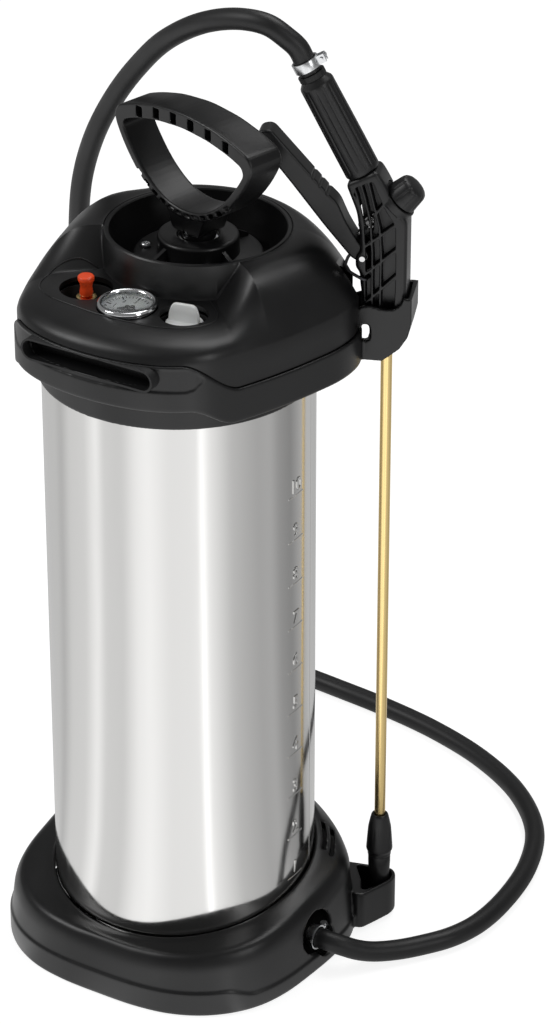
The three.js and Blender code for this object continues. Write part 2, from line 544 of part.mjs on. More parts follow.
// Wire latch that hooks the trigger down.
const LATCH_PATH = [[-13, -10.4, 525], [-13, -12.6, 525.1], [-14.4, -13.8, 525.7], [-22, -13.8, 529.4],
  [-26.4, -12.4, 531.6], [-28, -8, 532.4], [-28.4, 0, 532.6], [-28, 8, 532.4], [-26.4, 12.4, 531.6],
  [-22, 13.8, 529.4], [-14.4, 13.8, 525.7], [-13, 12.6, 525.1], [-13, 10.4, 525]];
part('trigger_latch', rod(LATCH_PATH, 2.4, 8, 40), STEEL, gun);

const gripProfile = [[GRIP.bore, GRIP.from], [GRIP.r - 1, GRIP.from], [GRIP.r, GRIP.from + 1],
  [GRIP.r, GRIP.to - 4], [GRIP.r - 3, GRIP.to], [GRIP.bore, GRIP.to]];
part('gun_grip', onGrip(turned(gripProfile, 24, true)), BLACK, gun);
part('grip_filter', onGrip(cut(disc(5.8, 48, 92, 16), disc(4.6, 52, 100, 16))), BRASS, gun);
part('hose_tail', onGrip(union(ring(3, GRIP.bore - GAP, GRIP.to - 14, GRIP.to, 16), ring(3, 9.6,
  GRIP.to + 0.3, GRIP.to + 4, 20),
  ring(3, GRIP.bore - 1, GRIP.to - 1, GRIP.to + 2, 16))), BLACK_SOFT, gun);
part('gun_clamp', onGrip(clampRing(7).rotate([0, 0, -90]).translate([0, 0, GRIP.to + 7])), ZINC, gun);

part('valve_spindle', onValve(union(disc(2.4, -40.2, -8.5, 12), disc(5, -30, -27.5, 16))), STEEL, gun);
part('valve_seal', onValve(ring(2.7, 5.7, -35.6, -30.3, 16)), RUBBER, gun);
part('valve_spring', onValve(ring(3.4, 4.8, -27.2, -4.8, 16)), STEEL, gun);
part('valve_knob', onValve(turned([[0, -4.5], [2, -4.5], [5.7, -4.5], [5.7, -0.8], [12.2, -0.8], [12.2,
  1], [10.6, 11], [9, 13.4], [4.5, 14.6], [0, 14.8]], 24)), BLACK, gun);

part('lance_seal', ring(LANCE.r + GAP, 6, 496.2, 499.6, 16), RUBBER, gun);
part('lance_nut', cut(union(hex(17, 483, 491), disc(6, 491, 495.8, 16)), disc(LANCE.r + GAP, 480, 500,
  16)), BRASS, gun);
part('lance_tube', ring(LANCE.bore, LANCE.r, LANCE.low, LANCE.high, 16), BRASS, gun);

part('nozzle_nut', turned([[LANCE.r + GAP, 60], [7.4, 60], [7.4, 52], [8.6, 52], [8.6, 54.5], [9.7, 57],
  [9.7, 58.5], [8.4, 76],
  [6.3, 86], [5.6, 87], [LANCE.r + GAP, 87]], 20, true), BLACK, gun);
part('nozzle_seal', ring(LANCE.r + GAP, 6.6, 55, 59.6, 16), RUBBER, gun);
part('nozzle_head', turned([[3.2, 44], [7, 44], [7, 51.7], [8.2, 51.7], [8.2, 46], [7.6, 34], [7.2, 16],
  [6.2, 12.5], [5, 12.5],
  [5, 20], [3.2, 20]], 20, true), BLACK, gun);
part('nozzle_insert', ring(1, 4.7, 13, 19.7, 12), BRASS, gun);

export default sprayer;
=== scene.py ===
"""Ten litre compression sprayer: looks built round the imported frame. Lengths below are in millimetres."""
import json
import math

import bmesh
import bpy
from mathutils import Matrix, Vector


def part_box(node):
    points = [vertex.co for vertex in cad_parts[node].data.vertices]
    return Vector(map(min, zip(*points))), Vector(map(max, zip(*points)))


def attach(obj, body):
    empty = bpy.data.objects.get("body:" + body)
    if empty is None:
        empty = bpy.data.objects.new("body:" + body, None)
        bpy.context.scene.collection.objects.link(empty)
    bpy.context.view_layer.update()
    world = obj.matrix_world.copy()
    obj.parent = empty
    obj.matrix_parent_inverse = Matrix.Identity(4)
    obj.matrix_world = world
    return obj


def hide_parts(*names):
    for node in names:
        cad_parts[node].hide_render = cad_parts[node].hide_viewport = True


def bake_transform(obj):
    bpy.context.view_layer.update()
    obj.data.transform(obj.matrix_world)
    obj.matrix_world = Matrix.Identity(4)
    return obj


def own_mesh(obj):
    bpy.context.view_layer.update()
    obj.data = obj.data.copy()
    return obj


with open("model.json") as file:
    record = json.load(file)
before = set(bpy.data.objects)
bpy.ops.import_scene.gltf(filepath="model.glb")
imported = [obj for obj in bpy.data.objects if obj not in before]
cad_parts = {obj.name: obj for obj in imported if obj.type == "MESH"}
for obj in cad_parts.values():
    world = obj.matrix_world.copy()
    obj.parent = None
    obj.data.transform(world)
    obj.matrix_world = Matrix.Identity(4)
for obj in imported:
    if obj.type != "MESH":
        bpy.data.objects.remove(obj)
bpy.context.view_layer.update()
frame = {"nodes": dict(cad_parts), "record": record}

MM = 0.001
TANK_R = 95.0
PUMP = (0.0, 26.0)
CONTROLS_R = 88
GUN_AT = (119, 79.5)
GUN_TURN = 22
CONSOLE_Z = 528.0
RIM_Z = 553.0


def polar(centre, r, degrees):
    """Point of the plan at a distance and a bearing from a centre."""
    a = math.radians(degrees)
    return centre[0] + r * math.cos(a), centre[1] + r * math.sin(a)


GAUGE_AT, RELIEF_AT, PLUG_AT = [polar(PUMP, CONTROLS_R, degrees) for degrees in (-90, -116.6, -63.4)]

# ------------------------------------------------------------------ camera
AZIMUTH = math.radians(31.834)
ELEVATION = math.radians(28.866)
CAMERA_AT_METRES = (1.3676, -2.0761, 1.7118)
LENS_LENGTH = 141.98


def add(ob):
    bpy.context.scene.collection.objects.link(ob)
    return ob


def place_camera():
    back = Vector((math.sin(AZIMUTH) * math.cos(ELEVATION), -math.cos(AZIMUTH) * math.cos(ELEVATION),
                   math.sin(ELEVATION)))
    data = bpy.data.cameras.new("camera")
    data.lens = LENS_LENGTH
    data.sensor_width = 36
    data.clip_end = 50
    camera = add(bpy.data.objects.new("camera", data))
    camera.location = CAMERA_AT_METRES
    camera.rotation_mode = "QUATERNION"
    camera.rotation_quaternion = (-back).to_track_quat("-Z", "Y")
    bpy.context.scene.camera = camera


place_camera()

# Hose centreline, as the CAD route: outlet, floor, up behind the tank, over to the gun.
HOSE_ROUTE = [
    (106, 0, 22), (116, 0, 22), (126, 0, 21.8), (134, 3.4, 19.3), (142, 10, 14.8), (150, 18.6, 11.2),
    (162, 33, 8.6), (175, 50, 7.9), (187, 69, 7.8), (195, 93, 7.8), (197, 130, 7.8), (190, 180, 7.8),
    (171, 226, 7.8), (135, 265, 7.8), (88, 293, 7.8), (35, 311, 7.8), (-20, 321, 7.8), (-70, 326, 7.8),
    (-115, 326, 11), (-155, 317, 25), (-184, 301, 52), (-202, 276, 97), (-209, 248, 152),
    (-208, 219, 218), (-202, 191, 288), (-191, 163, 358), (-178, 139, 420), (-164, 119, 478),
    (-149, 104, 525), (-129, 92, 567), (-106, 83, 603), (-80, 74, 635), (-48, 62.5, 666),
    (-10, 53, 690), (22, 48.5, 700.5), (42, 49.6, 700), (54, 53, 692.5), (61, 56, 685.6),
    (65, 57.7, 677.4), (69, 59.3, 669.1)]
HOSE_R = 7.5


# ------------------------------------------------------------------ mesh helpers
def clean(mesh, merge=1e-6):
    bm = bmesh.new()
    bm.from_mesh(mesh)
    bmesh.ops.remove_doubles(bm, verts=bm.verts, dist=merge)
    bmesh.ops.dissolve_degenerate(bm, edges=bm.edges, dist=1e-7)
    bmesh.ops.recalc_face_normals(bm, faces=bm.faces)
    bm.to_mesh(mesh)
    bm.free()


def final_mesh(ob):
    """Mesh of an object with its modifiers applied, or of a curve or a text."""
    return bpy.data.meshes.new_from_object(ob.evaluated_get(bpy.context.evaluated_depsgraph_get()))


def solid(name, points, faces):
    mesh = bpy.data.meshes.new(name)
    mesh.from_pydata([Vector(p) * MM for p in points], [], faces)
    clean(mesh)
    return add(bpy.data.objects.new(name, mesh))


def grid(name, rows, wrap=True):
    """Skin over rows of points; each row is a closed loop. Rows close on each other, or get end caps."""
    n, m = len(rows), len(rows[0])
    faces = []
    for i in range(n if wrap else n - 1):
        k = (i + 1) % n
        for j in range(m):
            l = (j + 1) % m
            faces.append((i * m + j, i * m + l, k * m + l, k * m + j))
    if not wrap:
        faces.append(tuple(range(m)))
        faces.append(tuple((n - 1) * m + j for j in range(m)))
    return solid(name, [p for row in rows for p in row], faces)


def soften(points, radius, steps=3, closed=True):
    """Rounds the corners of an outline. radius is one number, or one for each corner."""
    out = []
    count = len(points)
    for i, corner in enumerate(points):
        r = radius[i] if isinstance(radius, (list, tuple)) else radius
        corner = Vector(corner)
        if r == 0 or (not closed and i in (0, count - 1)):
            out.append(corner)
            continue
        before = Vector(points[i - 1]) - corner
        after = Vector(points[(i + 1) % count]) - corner
        d = min(r, 0.48 * before.length, 0.48 * after.length)
        a, b = corner + before.normalized() * d, corner + after.normalized() * d
        for k in range(steps + 1):
            t = k / steps
            out.append(a * (1 - t) ** 2 + corner * (2 * t * (1 - t)) + b * t ** 2)
    return out


def turned(name, profile, segments=96, at=(0, 0), ring=False, radius=0.4, steps=2):
    """Solid of revolution. A profile that isn't a ring starts and ends on the axis."""
    line = soften(profile, radius, steps, closed=ring) if radius else [Vector(p) for p in profile]
    rows = []
    for i in range(segments):
        a = math.tau * i / segments
        rows.append([(at[0] + r * math.cos(a), at[1] + r * math.sin(a), z) for r, z in line])
    n, m = segments, len(line)
    faces = [(i * m + j, ((i + 1) % n) * m + j, ((i + 1) % n) * m + (j + 1) % m, i * m + (j + 1) % m)
             for i in range(n) for j in range(m if ring else m - 1)]
    return solid(name, [p for row in rows for p in row], faces)


def slab(name, outline, low, high, holes=(), edge=0.8, steps=2):
    """Outline in (x, z) given a thickness along Y, with every edge rounded."""
    curve = bpy.data.curves.new(name, "CURVE")
    curve.dimensions = "2D"
    curve.fill_mode = "BOTH"
    for loop in [outline, *holes]:
        spline = curve.splines.new("POLY")
        spline.points.add(len(loop) - 1)
        for point, (x, z) in zip(spline.points, loop):
            point.co = (x * MM, z * MM, 0, 1)
        spline.use_cyclic_u = True
    curve.extrude = ((high - low) / 2 - edge) * MM
    curve.bevel_depth = edge * MM
    curve.offset = -edge * MM
    curve.bevel_resolution = steps
    shell = add(bpy.data.objects.new(name + "_curve", curve))
    mesh = final_mesh(shell)
    bpy.data.objects.remove(shell)
    mesh.transform(Matrix.Translation((0, (low + high) / 2 * MM, 0)) @ Matrix.Rotation(math.pi / 2, 4, "X"))
    clean(mesh, 1e-5)
    return add(bpy.data.objects.new(name, mesh))


def box(name, low, high):
    (x0, y0, z0), (x1, y1, z1) = low, high
    return grid(name, [[(x0, y0, z), (x1, y0, z), (x1, y1, z), (x0, y1, z)] for z in (z0, z1)], wrap=False)


def rod(name, r, start, end, segments=48):
    """Plain cylinder between two points."""
    start, end = Vector(start), Vector(end)
    q = (end - start).to_track_quat("Z", "Y")
    rows = [[c + q @ Vector((r * math.cos(math.tau * k / segments), r * math.sin(math.tau * k / segments),
                             0))
             for k in range(segments)] for c in (start, end)]
    return grid(name, rows, wrap=False)


def bake(ob):
    mesh = final_mesh(ob)
    ob.modifiers.clear()
    ob.data = mesh
    return ob


def combine(ob, tools, operation):
    for tool in tools:
        m = ob.modifiers.new("join", "BOOLEAN")
        m.operation = operation
        m.object = tool
        m.solver = "MANIFOLD"
        before = len(ob.data.vertices)
        result = final_mesh(ob)
        if len(result.vertices) in (0, before):
            m.solver = "EXACT"
            result = final_mesh(ob)
        ob.modifiers.clear()
        ob.data = result
        bpy.data.objects.remove(tool)
    return ob


def carve(ob, *tools):
    return combine(ob, tools, "DIFFERENCE")


def fuse(ob, *tools):
    return combine(ob, tools, "UNION")


def mould(ob, voxel, rounds=3):
    """Gives a cut and joined solid the small edge rounding of a moulding."""
    skin = ob.modifiers.new("skin", "REMESH")
    skin.mode = "VOXEL"
    skin.voxel_size = voxel * MM
    ease = ob.modifiers.new("ease", "SMOOTH")
    ease.factor = 0.5
    ease.iterations = rounds
    thin = ob.modifiers.new("thin", "DECIMATE")
    thin.ratio = 0.4
    return bake(ob)


def moved(ob, matrix):
    ob.data.transform(matrix)
    return ob


def shift(x, y, z):
    return Matrix.Translation(Vector((x, y, z)) * MM)


def turn(degrees, axis):
    return Matrix.Rotation(math.radians(degrees), 4, axis)


def show(ob, body, slot, material, *nodes, angle=32):
    """Shades a finished piece, gives it its material, ties it to its body and hides the CAD nodes it stands
    for. The slot argument is not used.
    """
    ob.data.materials.clear()
    ob.data.materials.append(material)
    ob.data.polygons.foreach_set("use_smooth", [True] * len(ob.data.polygons))
    ob.data.set_sharp_from_angle(angle=math.radians(angle))
    ob.data.update()
    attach(ob, body)
    if nodes:
        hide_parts(*nodes)
    return ob


def spline(points, per_span=12):
    """Centripetal Catmull-Rom curve through the points, ends included."""
    pts = [Vector(p) for p in points]
    pts = [pts[0] * 2 - pts[1], *pts, pts[-1] * 2 - pts[-2]]
    out = []
    for p0, p1, p2, p3 in zip(pts, pts[1:], pts[2:], pts[3:]):
        d0, d1, d2 = [max((b - a).length, 1e-6) ** 0.5 for a, b in ((p0, p1), (p1, p2), (p2, p3))]
        m1 = ((p1 - p0) / d0 - (p2 - p0) / (d0 + d1) + (p2 - p1) / d1) * d1
        m2 = ((p2 - p1) / d1 - (p3 - p1) / (d1 + d2) + (p3 - p2) / d2) * d1
        for k in range(per_span):
            t = k / per_span
            out.append(p1 * (2 * t ** 3 - 3 * t ** 2 + 1) + m1 * (t ** 3 - 2 * t ** 2 + t)
                       + p2 * (-2 * t ** 3 + 3 * t ** 2) + m2 * (t ** 3 - t ** 2))
    out.append(pts[-2])
    return out


def sweep(name, path, radius, segments=24):
    """Round tube along a path; radius is a number or a function of the share of the way."""
    rows = []
    normal = Vector((0, 0, 1))
    count = len(path)
    for i, p in enumerate(path):
        tangent = (path[min(i + 1, count - 1)] - path[max(i - 1, 0)]).normalized()
        normal = (normal - tangent * normal.dot(tangent)).normalized()
        side = tangent.cross(normal)
        r = radius(i / (count - 1)) if callable(radius) else radius
        rows.append([p + normal * (r * math.cos(math.tau * k / segments))
                     + side * (r * math.sin(math.tau * k / segments)) for k in range(segments)])
    return grid(name, rows, wrap=False)


def coil(name, r, wire, turns, z0, z1, place):
    """Helical spring wire along Z."""
    path = []
    count = int(turns * 20)
    for k in range(count + 1):
        a = math.tau * turns * k / count
        path.append(Vector((r * math.cos(a), r * math.sin(a), z0 + (z1 - z0) * k / count)))
    return moved(sweep(name, path, wire, 10), place)


def numeral(number, size, thickness, bevel=0.0, upright="TOP_BASELINE"):
    """Number as a thin solid lying in XY, centred from left to right. Thickness and bevel are in metres."""
    text = bpy.data.curves.new("numeral", "FONT")
    text.body = str(number)
    text.size = size * MM
    text.align_x = "CENTER"
    text.align_y = upright
    text.extrude = thickness
    text.bevel_depth = bevel
    holder = add(bpy.data.objects.new("numeral", text))
    mesh = final_mesh(holder)
    bpy.data.objects.remove(holder)
    return add(bpy.data.objects.new("numeral", mesh))


def join(first, others):
    """Several shells in one object, side by side in its mesh."""
    bm = bmesh.new()
    for ob in (first, *others):
        bm.from_mesh(ob.data)
    for ob in others:
        bpy.data.objects.remove(ob)
    bm.to_mesh(first.data)
    bm.free()
    return first


def smooth(low, high, x):
    t = min(1.0, max(0.0, (x - low) / (high - low)))
    return t * t * (3 - 2 * t)


def ramp(low, high, x):
    return min(1.0, max(0.0, (x - low) / (high - low)))


def along(table, x):
    """Value of a piecewise straight table of (x, value)."""
    if x <= table[0][0]:
        return table[0][1]
    for (x0, v0), (x1, v1) in zip(table, table[1:]):
        if x <= x1:
            return v0 + (v1 - v0) * (x - x0) / (x1 - x0)
    return table[-1][1]


# ------------------------------------------------------------------ materials
def node_material(name, color, roughness, metallic=0.0):
    material = bpy.data.materials.new(name)
    material.use_nodes = True
    shader = material.node_tree.nodes["Principled BSDF"]
    shader.inputs["Base Color"].default_value = (*color, 1)
    shader.inputs["Roughness"].default_value = roughness
    shader.inputs["Metallic"].default_value = metallic
    return material, material.node_tree, shader


def noise(tree, scale, detail=4, stretch=None):
    coordinates = tree.nodes.new("ShaderNodeTexCoord")
    texture = tree.nodes.new("ShaderNodeTexNoise")
    texture.inputs["Scale"].default_value = scale
    texture.inputs["Detail"].default_value = detail
    if stretch:
        mapping = tree.nodes.new("ShaderNodeMapping")
        mapping.inputs["Scale"].default_value = stretch
        tree.links.new(coordinates.outputs["Object"], mapping.inputs["Vector"])
        tree.links.new(mapping.outputs["Vector"], texture.inputs["Vector"])
    else:
        tree.links.new(coordinates.outputs["Object"], texture.inputs["Vector"])
    return texture


def spread(tree, texture, low, high, socket):
    """Sends a texture, mapped to a range, into a shader socket."""
    scale = tree.nodes.new("ShaderNodeMapRange")
    scale.inputs["From Min"].default_value = 0.3
    scale.inputs["From Max"].default_value = 0.7
    scale.inputs["To Min"].default_value = low
    scale.inputs["To Max"].default_value = high
    tree.links.new(texture.outputs["Fac"], scale.inputs["Value"])
    tree.links.new(scale.outputs["Result"], socket)


def relief(tree, texture, shader, strength, distance):
    bump = tree.nodes.new("ShaderNodeBump")
    bump.inputs["Strength"].default_value = strength
    bump.inputs["Distance"].default_value = distance
    tree.links.new(texture.outputs["Fac"], bump.inputs["Height"])
    tree.links.new(bump.outputs["Normal"], shader.inputs["Normal"])


def moulded(name, color, low, high, grain=1500, depth=0.25):
    """Moulded plastic or rubber: fine grain in the surface, slow change of gloss over it."""
    material, tree, shader = node_material(name, color, (low + high) / 2)
    spread(tree, noise(tree, 22, 3), low, high, shader.inputs["Roughness"])
    relief(tree, noise(tree, grain, 2), shader, depth, 0.00006)
    return material


def metal(name, color, low, high, grain=400, depth=0.1, stretch=None):
    material, tree, shader = node_material(name, color, (low + high) / 2, 1.0)
    spread(tree, noise(tree, grain / 6, 4, stretch), low, high, shader.inputs["Roughness"])
    relief(tree, noise(tree, grain, 3, stretch), shader, depth, 0.00004)
    return material


def rolled_steel():
    """Bright rolled sheet with fine upright lines and a faint waviness."""
    material, tree, shader = node_material("stainless_sheet", (0.68, 0.675, 0.665), 0.12, 1.0)
    shader.inputs["Anisotropic"].default_value = 0.55
    tangent = tree.nodes.new("ShaderNodeTangent")
    tangent.direction_type = "RADIAL"
    tangent.axis = "Z"
    tree.links.new(tangent.outputs["Tangent"], shader.inputs["Tangent"])
    spread(tree, noise(tree, 60, 5, (3, 3, 0.25)), 0.09, 0.15, shader.inputs["Roughness"])
    relief(tree, noise(tree, 900, 3, (1, 1, 0.05)), shader, 0.12, 0.00004)
    return material


STEEL_SHEET = rolled_steel()
BLACK = moulded("black_satin", (0.0042, 0.0042, 0.0046), 0.3, 0.42)
BLACK_GUN = moulded("black_gun", (0.005, 0.005, 0.0055), 0.32, 0.44, 1900, 0.18)
BLACK_MATT = moulded("black_matt", (0.006, 0.006, 0.0065), 0.5, 0.62)
RUBBER = moulded("hose_rubber", (0.007, 0.007, 0.0075), 0.4, 0.52, 900, 0.3)
BRASS = metal("bright_brass", (0.97, 0.73, 0.33), 0.16, 0.26, 500, 0.08, (1, 1, 0.05))
ZINC = metal("zinc_plate", (0.72, 0.73, 0.74), 0.2, 0.38, 300, 0.25)
STEEL_ROD = metal("ground_steel", (0.7, 0.7, 0.7), 0.14, 0.24, 700, 0.1)
DARK_STEEL = metal("oxide_steel", (0.06, 0.06, 0.065), 0.3, 0.42, 500, 0.1)
CHROME = metal("chrome_plate", (0.85, 0.86, 0.87), 0.04, 0.1, 200, 0.03)
RED = moulded("red_gloss", (0.95, 0.085, 0.018), 0.22, 0.36, 700, 0.12)
GREY = moulded("grey_plastic", (0.16, 0.165, 0.17), 0.45, 0.6)


def white_plastic():
    material, tree, shader = node_material("white_plastic", (0.86, 0.87, 0.86), 0.35)
    shader.inputs["Subsurface Weight"].default_value = 0.25
    shader.inputs["Subsurface Radius"].default_value = (0.004, 0.004, 0.0035)
    spread(tree, noise(tree, 40, 3), 0.28, 0.42, shader.inputs["Roughness"])
    relief(tree, noise(tree, 1100, 2), shader, 0.15, 0.00005)
    return material


WHITE = white_plastic()


def clear_lens():
    material, tree, shader = node_material("gauge_glass", (0.97, 0.99, 0.99), 0.03)
    shader.inputs["Transmission Weight"].default_value = 0.95
    shader.inputs["IOR"].default_value = 1.47
    spread(tree, noise(tree, 300, 3), 0.02, 0.06, shader.inputs["Roughness"])
    return material


LENS = clear_lens()


# ------------------------------------------------------------------ hose
def clamp(name, width, place):
    """Two-ear hose clamp: a bent strip, its ears and a cross screw."""
    ob = turned(name, [(8.1, 0), (9.5, 0), (9.5, width), (8.1, width)], 96, ring=True, radius=0.25)
    for x in (-2.4, 2.4):
        ob = fuse(ob, box("ear", (x - 0.7, 8.4, 0.5), (x + 0.7, 14.5, width - 0.5)))
    ob = fuse(ob, rod("screw", 1.4, (-4.4, 11.8, width / 2), (4.4, 11.8, width / 2), 24),
              rod("screw_head", 2.5, (-5.4, 11.8, width / 2), (-3.2, 11.8, width / 2), 32))
    return moved(ob, place)


def hose():
    path = spline(HOSE_ROUTE, 14)
    length = sum((b - a).length for a, b in zip(path, path[1:]))

    def radius(share):
        ends = max(1 - share * length / 26, 1 - (1 - share) * length / 26, 0)
        return HOSE_R + 0.35 * min(1.0, ends * 3)

    ob = sweep("rubber_hose", path, radius, 28)
    ob.data.materials.append(RUBBER)
    ob.data.polygons.foreach_set("use_smooth", [True] * len(ob.data.polygons))
    ob.data.set_sharp_from_angle(angle=math.radians(40))
    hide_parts("hose")
    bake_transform(ob)
    band = clamp("outlet_band", 6.5, shift(109, 0, 22) @ turn(90, "Y"))
    show(band, "sprayer", "zinc", ZINC, "outlet_clamp")


hose()


# ------------------------------------------------------------------ tank
def tank_shell():
    outer = [(0, 34), (84, 34.8), (93, 38.5), (TANK_R, 46), (TANK_R, 480), (91, 492), (82, 501), (64, 508),
             (0, 511.5)]
    inner = [(0, 35.4), (83.4, 36.2), (91.9, 39.8), (93.8, 46.6), (93.8, 480), (89.9, 491.2), (81, 499.9),
             (63.5, 506.8), (0, 510.3)]
    corners = [0, 4, 5, 5, 9, 9, 9, 9, 0]
    shell = turned("tank", outer, 256, radius=corners, steps=6)
    shell = carve(shell, turned("hollow", inner, 128, radius=corners, steps=4))
    neck = turned("neck", [(32, 500), (36, 500), (36, 524), (32, 524)], 96, PUMP, ring=True)
    shell = carve(shell, rod("bore", 32.2, (*PUMP, 490), (*PUMP, 530)))
    shell = fuse(shell, neck)
    for x, y in (GAUGE_AT, RELIEF_AT, PLUG_AT):
        shell = carve(shell, rod("port", 4.4, (x, y, 490), (x, y, 520), 24))
    shell = carve(shell, rod("outlet_port", 6.3, (50, 0, 30), (50, 0, 40), 24))
    return shell


LITRE_STEP = 34.8
TOP_MARK_Z = 382.8
WELD_AT = math.radians(15)


def on_wall(along_wall, lift, z, start=0.0):
    """Point on the tank wall, measured along it from a starting bearing and lifted off it."""
    a = start + along_wall / TANK_R
    r = TANK_R + lift
    return Vector((r * math.cos(a), r * math.sin(a), z))


def litre_marks():
    """Ten raised ticks with numerals, and the line of the tank's weld."""
    marks = []
    for litre in range(1, 11):
        z = TOP_MARK_Z - (10 - litre) * LITRE_STEP
        number = numeral(litre, 14, 0.0004, bevel=0.0003)
        for vertex in number.data.vertices:
            x, y, lift = vertex.co / MM
            vertex.co = on_wall(x, lift, z + 3 + y) * MM
        marks.append(number)
        ridge = ((-0.3, -0.7), (0.25, -0.45), (0.4, 0), (0.25, 0.45), (-0.3, 0.7))
        rows = [[on_wall((k - 8) * 1.15, lift, z + dz) for lift, dz in ridge] for k in range(17)]
        marks.append(grid("tick", rows, wrap=False))
    seam = ((-0.9, -0.3), (-0.5, 0.16), (0, 0.24), (0.5, 0.16), (0.9, -0.3))
    heights = [56 + 5.2 * k for k in range(81)]
    weld = [[on_wall(aside, lift, z, WELD_AT) for aside, lift in seam] for z in heights]
    marks.append(grid("weld", weld, wrap=False))
    return marks


show(tank_shell(), "sprayer", "stainless", STEEL_SHEET, "tank_shell", angle=40)
marks = litre_marks()
show(join(marks[0], marks[1:]), "sprayer", "stainless", STEEL_SHEET, angle=40).name = "litre_scale"


# ------------------------------------------------------------------ plan outlines
FOOT_HALF = [(0, -118.5), (32, -117.5), (58, -112.5), (80, -102), (98, -86), (109, -69), (116, -48),
             (120, -17), (121.5, 15), (119, 40), (110, 60), (96, 76), (78, 91), (56, 104), (28, 112.5),
             (0, 115)]
HEAD_HALF = [(0, -114), (35, -110), (62, -99), (78, -84), (90, -60), (101, -32), (110, -2), (116, 28),
             (114, 52), (103, 72), (86, 90), (60, 105), (30, 113), (0, 116)]


def outline(half):
    points = [*half, *[(-x, y) for x, y in reversed(half[1:-1])]]
    points = [Vector((x, y, 0)) for x, y in points]
    loop = [*points[-2:], *points, *points[:3]]
    curve = spline(loop, 16)
    return curve[2 * 16:-3 * 16 + 1 + 16]


def reach(line, centre, angle):
    """How far an outline is from a centre, along an angle."""
    dx, dy = math.cos(angle), math.sin(angle)
    best = 0.0
    for a, b in zip(line, [*line[1:], line[0]]):
        ax, ay, ex, ey = a.x - centre[0], a.y - centre[1], b.x - a.x, b.y - a.y
        det = dy * ex - dx * ey
        if abs(det) < 1e-9:
            continue
        far = (ay * ex - ax * ey) / det
        t = (dx * ay - dy * ax) / det
        if far > 0 and -1e-6 <= t <= 1 + 1e-6:
            best = max(best, far)
    return best


FOOT_LINE = outline(FOOT_HALF)
HEAD_LINE = outline(HEAD_HALF)


def loft(name, centre, sections, section):
    """Closed ring-shaped skin: section(angle) gives a closed loop of (r, z)."""
    rows = []
    for i in range(sections):
        a = math.tau * i / sections
        rows.append([(centre[0] + r * math.cos(a), centre[1] + r * math.sin(a), z) for r, z in section(a)])
    return grid(name, rows)


# ------------------------------------------------------------------ foot
def foot_section(angle):
    o = reach(FOOT_LINE, (0, 0), angle)
    rim = 44 + 17 * (1 + math.sin(angle))
    low = 45 + (rim - 44) * 0.7
    corner = math.degrees(angle) % 360
    band = 19 - 6.5 * smooth(316, 326, corner) if corner > 180 else 19 - 6.5 * (1 - smooth(20, 34, corner))
    points = [(o - 1.2, 0.2), (o, 1.6), (o, band), (o - 1.6, band + 1.4), (o - 4.2, low - 9), (o - 9, low),
              (101.5, rim + 0.4), (97.2, rim + 1.2), (95.8, rim + 0.4), (95.8, rim - 3),
              (o - 12.5, low - 5), (o - 8, low - 10), (o - 5, 19), (o - 3.5, 0.2)]
    radii = [0.4, 0.8, 0.7, 0.9, 6, 7, 1.6, 0.8, 0.5, 0.6, 2, 2, 2, 0.3]
    return [(p.x, p.y) for p in soften(points, radii, 4)]


def plate(name, plan, low, high, edge=0.0):
    """Outline in (x, y) extruded upwards."""
    line = [Vector(p) for p in plan]
    rows = []
    centre = sum(line, Vector((0, 0))) / len(line)
    layers = ((low, 0), (high, 0))
    if edge:
        layers = ((low, edge), (low + edge, 0), (high - edge, 0), (high, edge))
    for z, inset in layers:
        rows.append([(*(p - (p - centre).normalized() * inset), z) for p in line])
    return grid(name, rows, wrap=False)


def base_foot():
    foot = loft("foot", (0, 0), 360, foot_section)
    hub = turned("hub", [(0, 0.2), (20, 0.2), (20, 33.6), (0, 33.6)], 64)
    ring = turned("seat", [(64, 29.6), (78, 29.6), (78, 33.6), (64, 33.6)], 128, ring=True)
    foot = fuse(foot, hub)
    foot = fuse(foot, ring)
    for degrees in (45, 135, 225, 315):
        out = reach(FOOT_LINE, (0, 0), math.radians(degrees)) - 4.2
        rib = moved(box("rib", (5, -2, 2.6), (out, 2, 19)), turn(degrees, "Z"))
        tall = moved(box("rib", (5, -2, 0.6), (76, 2, 33.2)), turn(degrees, "Z"))
        foot = fuse(foot, rib, tall)
    outer = [(104, 62), (115, 47.5), (122, 49), (127, 64), (131, 78), (129.5, 87), (123, 92.5), (86, 81.5)]
    inner = [(112, 66), (118, 56.5), (120.3, 57), (124.2, 65.5), (128.2, 78.4), (127.1, 85.4),
             (122.4, 89.4), (98, 82)]
    foot = fuse(foot, plate("holster", soften(outer, 4, 4), 3, 33, 0.8))
    foot = carve(foot, plate("pocket", soften(inner, 2.5, 4), 6, 45))
    foot = carve(foot, rod("arch", 17, (92, -6, 31), (140, -6, 31)), rod("outlet", 11.5, (92, 3, 19),
                                                                         (140, 3, 19)))
    for r0, r1, start, end in ((101, 104, 24, 42), (107, 110, 22, 40)):
        arc = [start + (end - start) * k / 10 for k in range(11)]
        plan = [(r1 * math.cos(math.radians(a)), r1 * math.sin(math.radians(a))) for a in arc]
        plan += [(r0 * math.cos(math.radians(a)), r0 * math.sin(math.radians(a))) for a in reversed(arc)]
        foot = carve(foot, plate("vent", plan, 40, 95))
    return mould(foot, 0.9, 2)


def foot_pan():
    """Thin bottom sheet that closes the foot underneath."""
    plan = []
    for k in range(180):
        a = math.tau * k / 180
        r = reach(FOOT_LINE, (0, 0), a) - 5.6
        plan.append((r * math.cos(a), r * math.sin(a)))
    return carve(plate("foot_pan", plan, 0.5, 2.0), rod("hub_way", 20.4, (0, 0, -1), (0, 0, 4)))


show(foot_pan(), "sprayer", "black_plastic", BLACK_MATT)
show(base_foot(), "sprayer", "black_plastic", BLACK, "base_foot", angle=60)


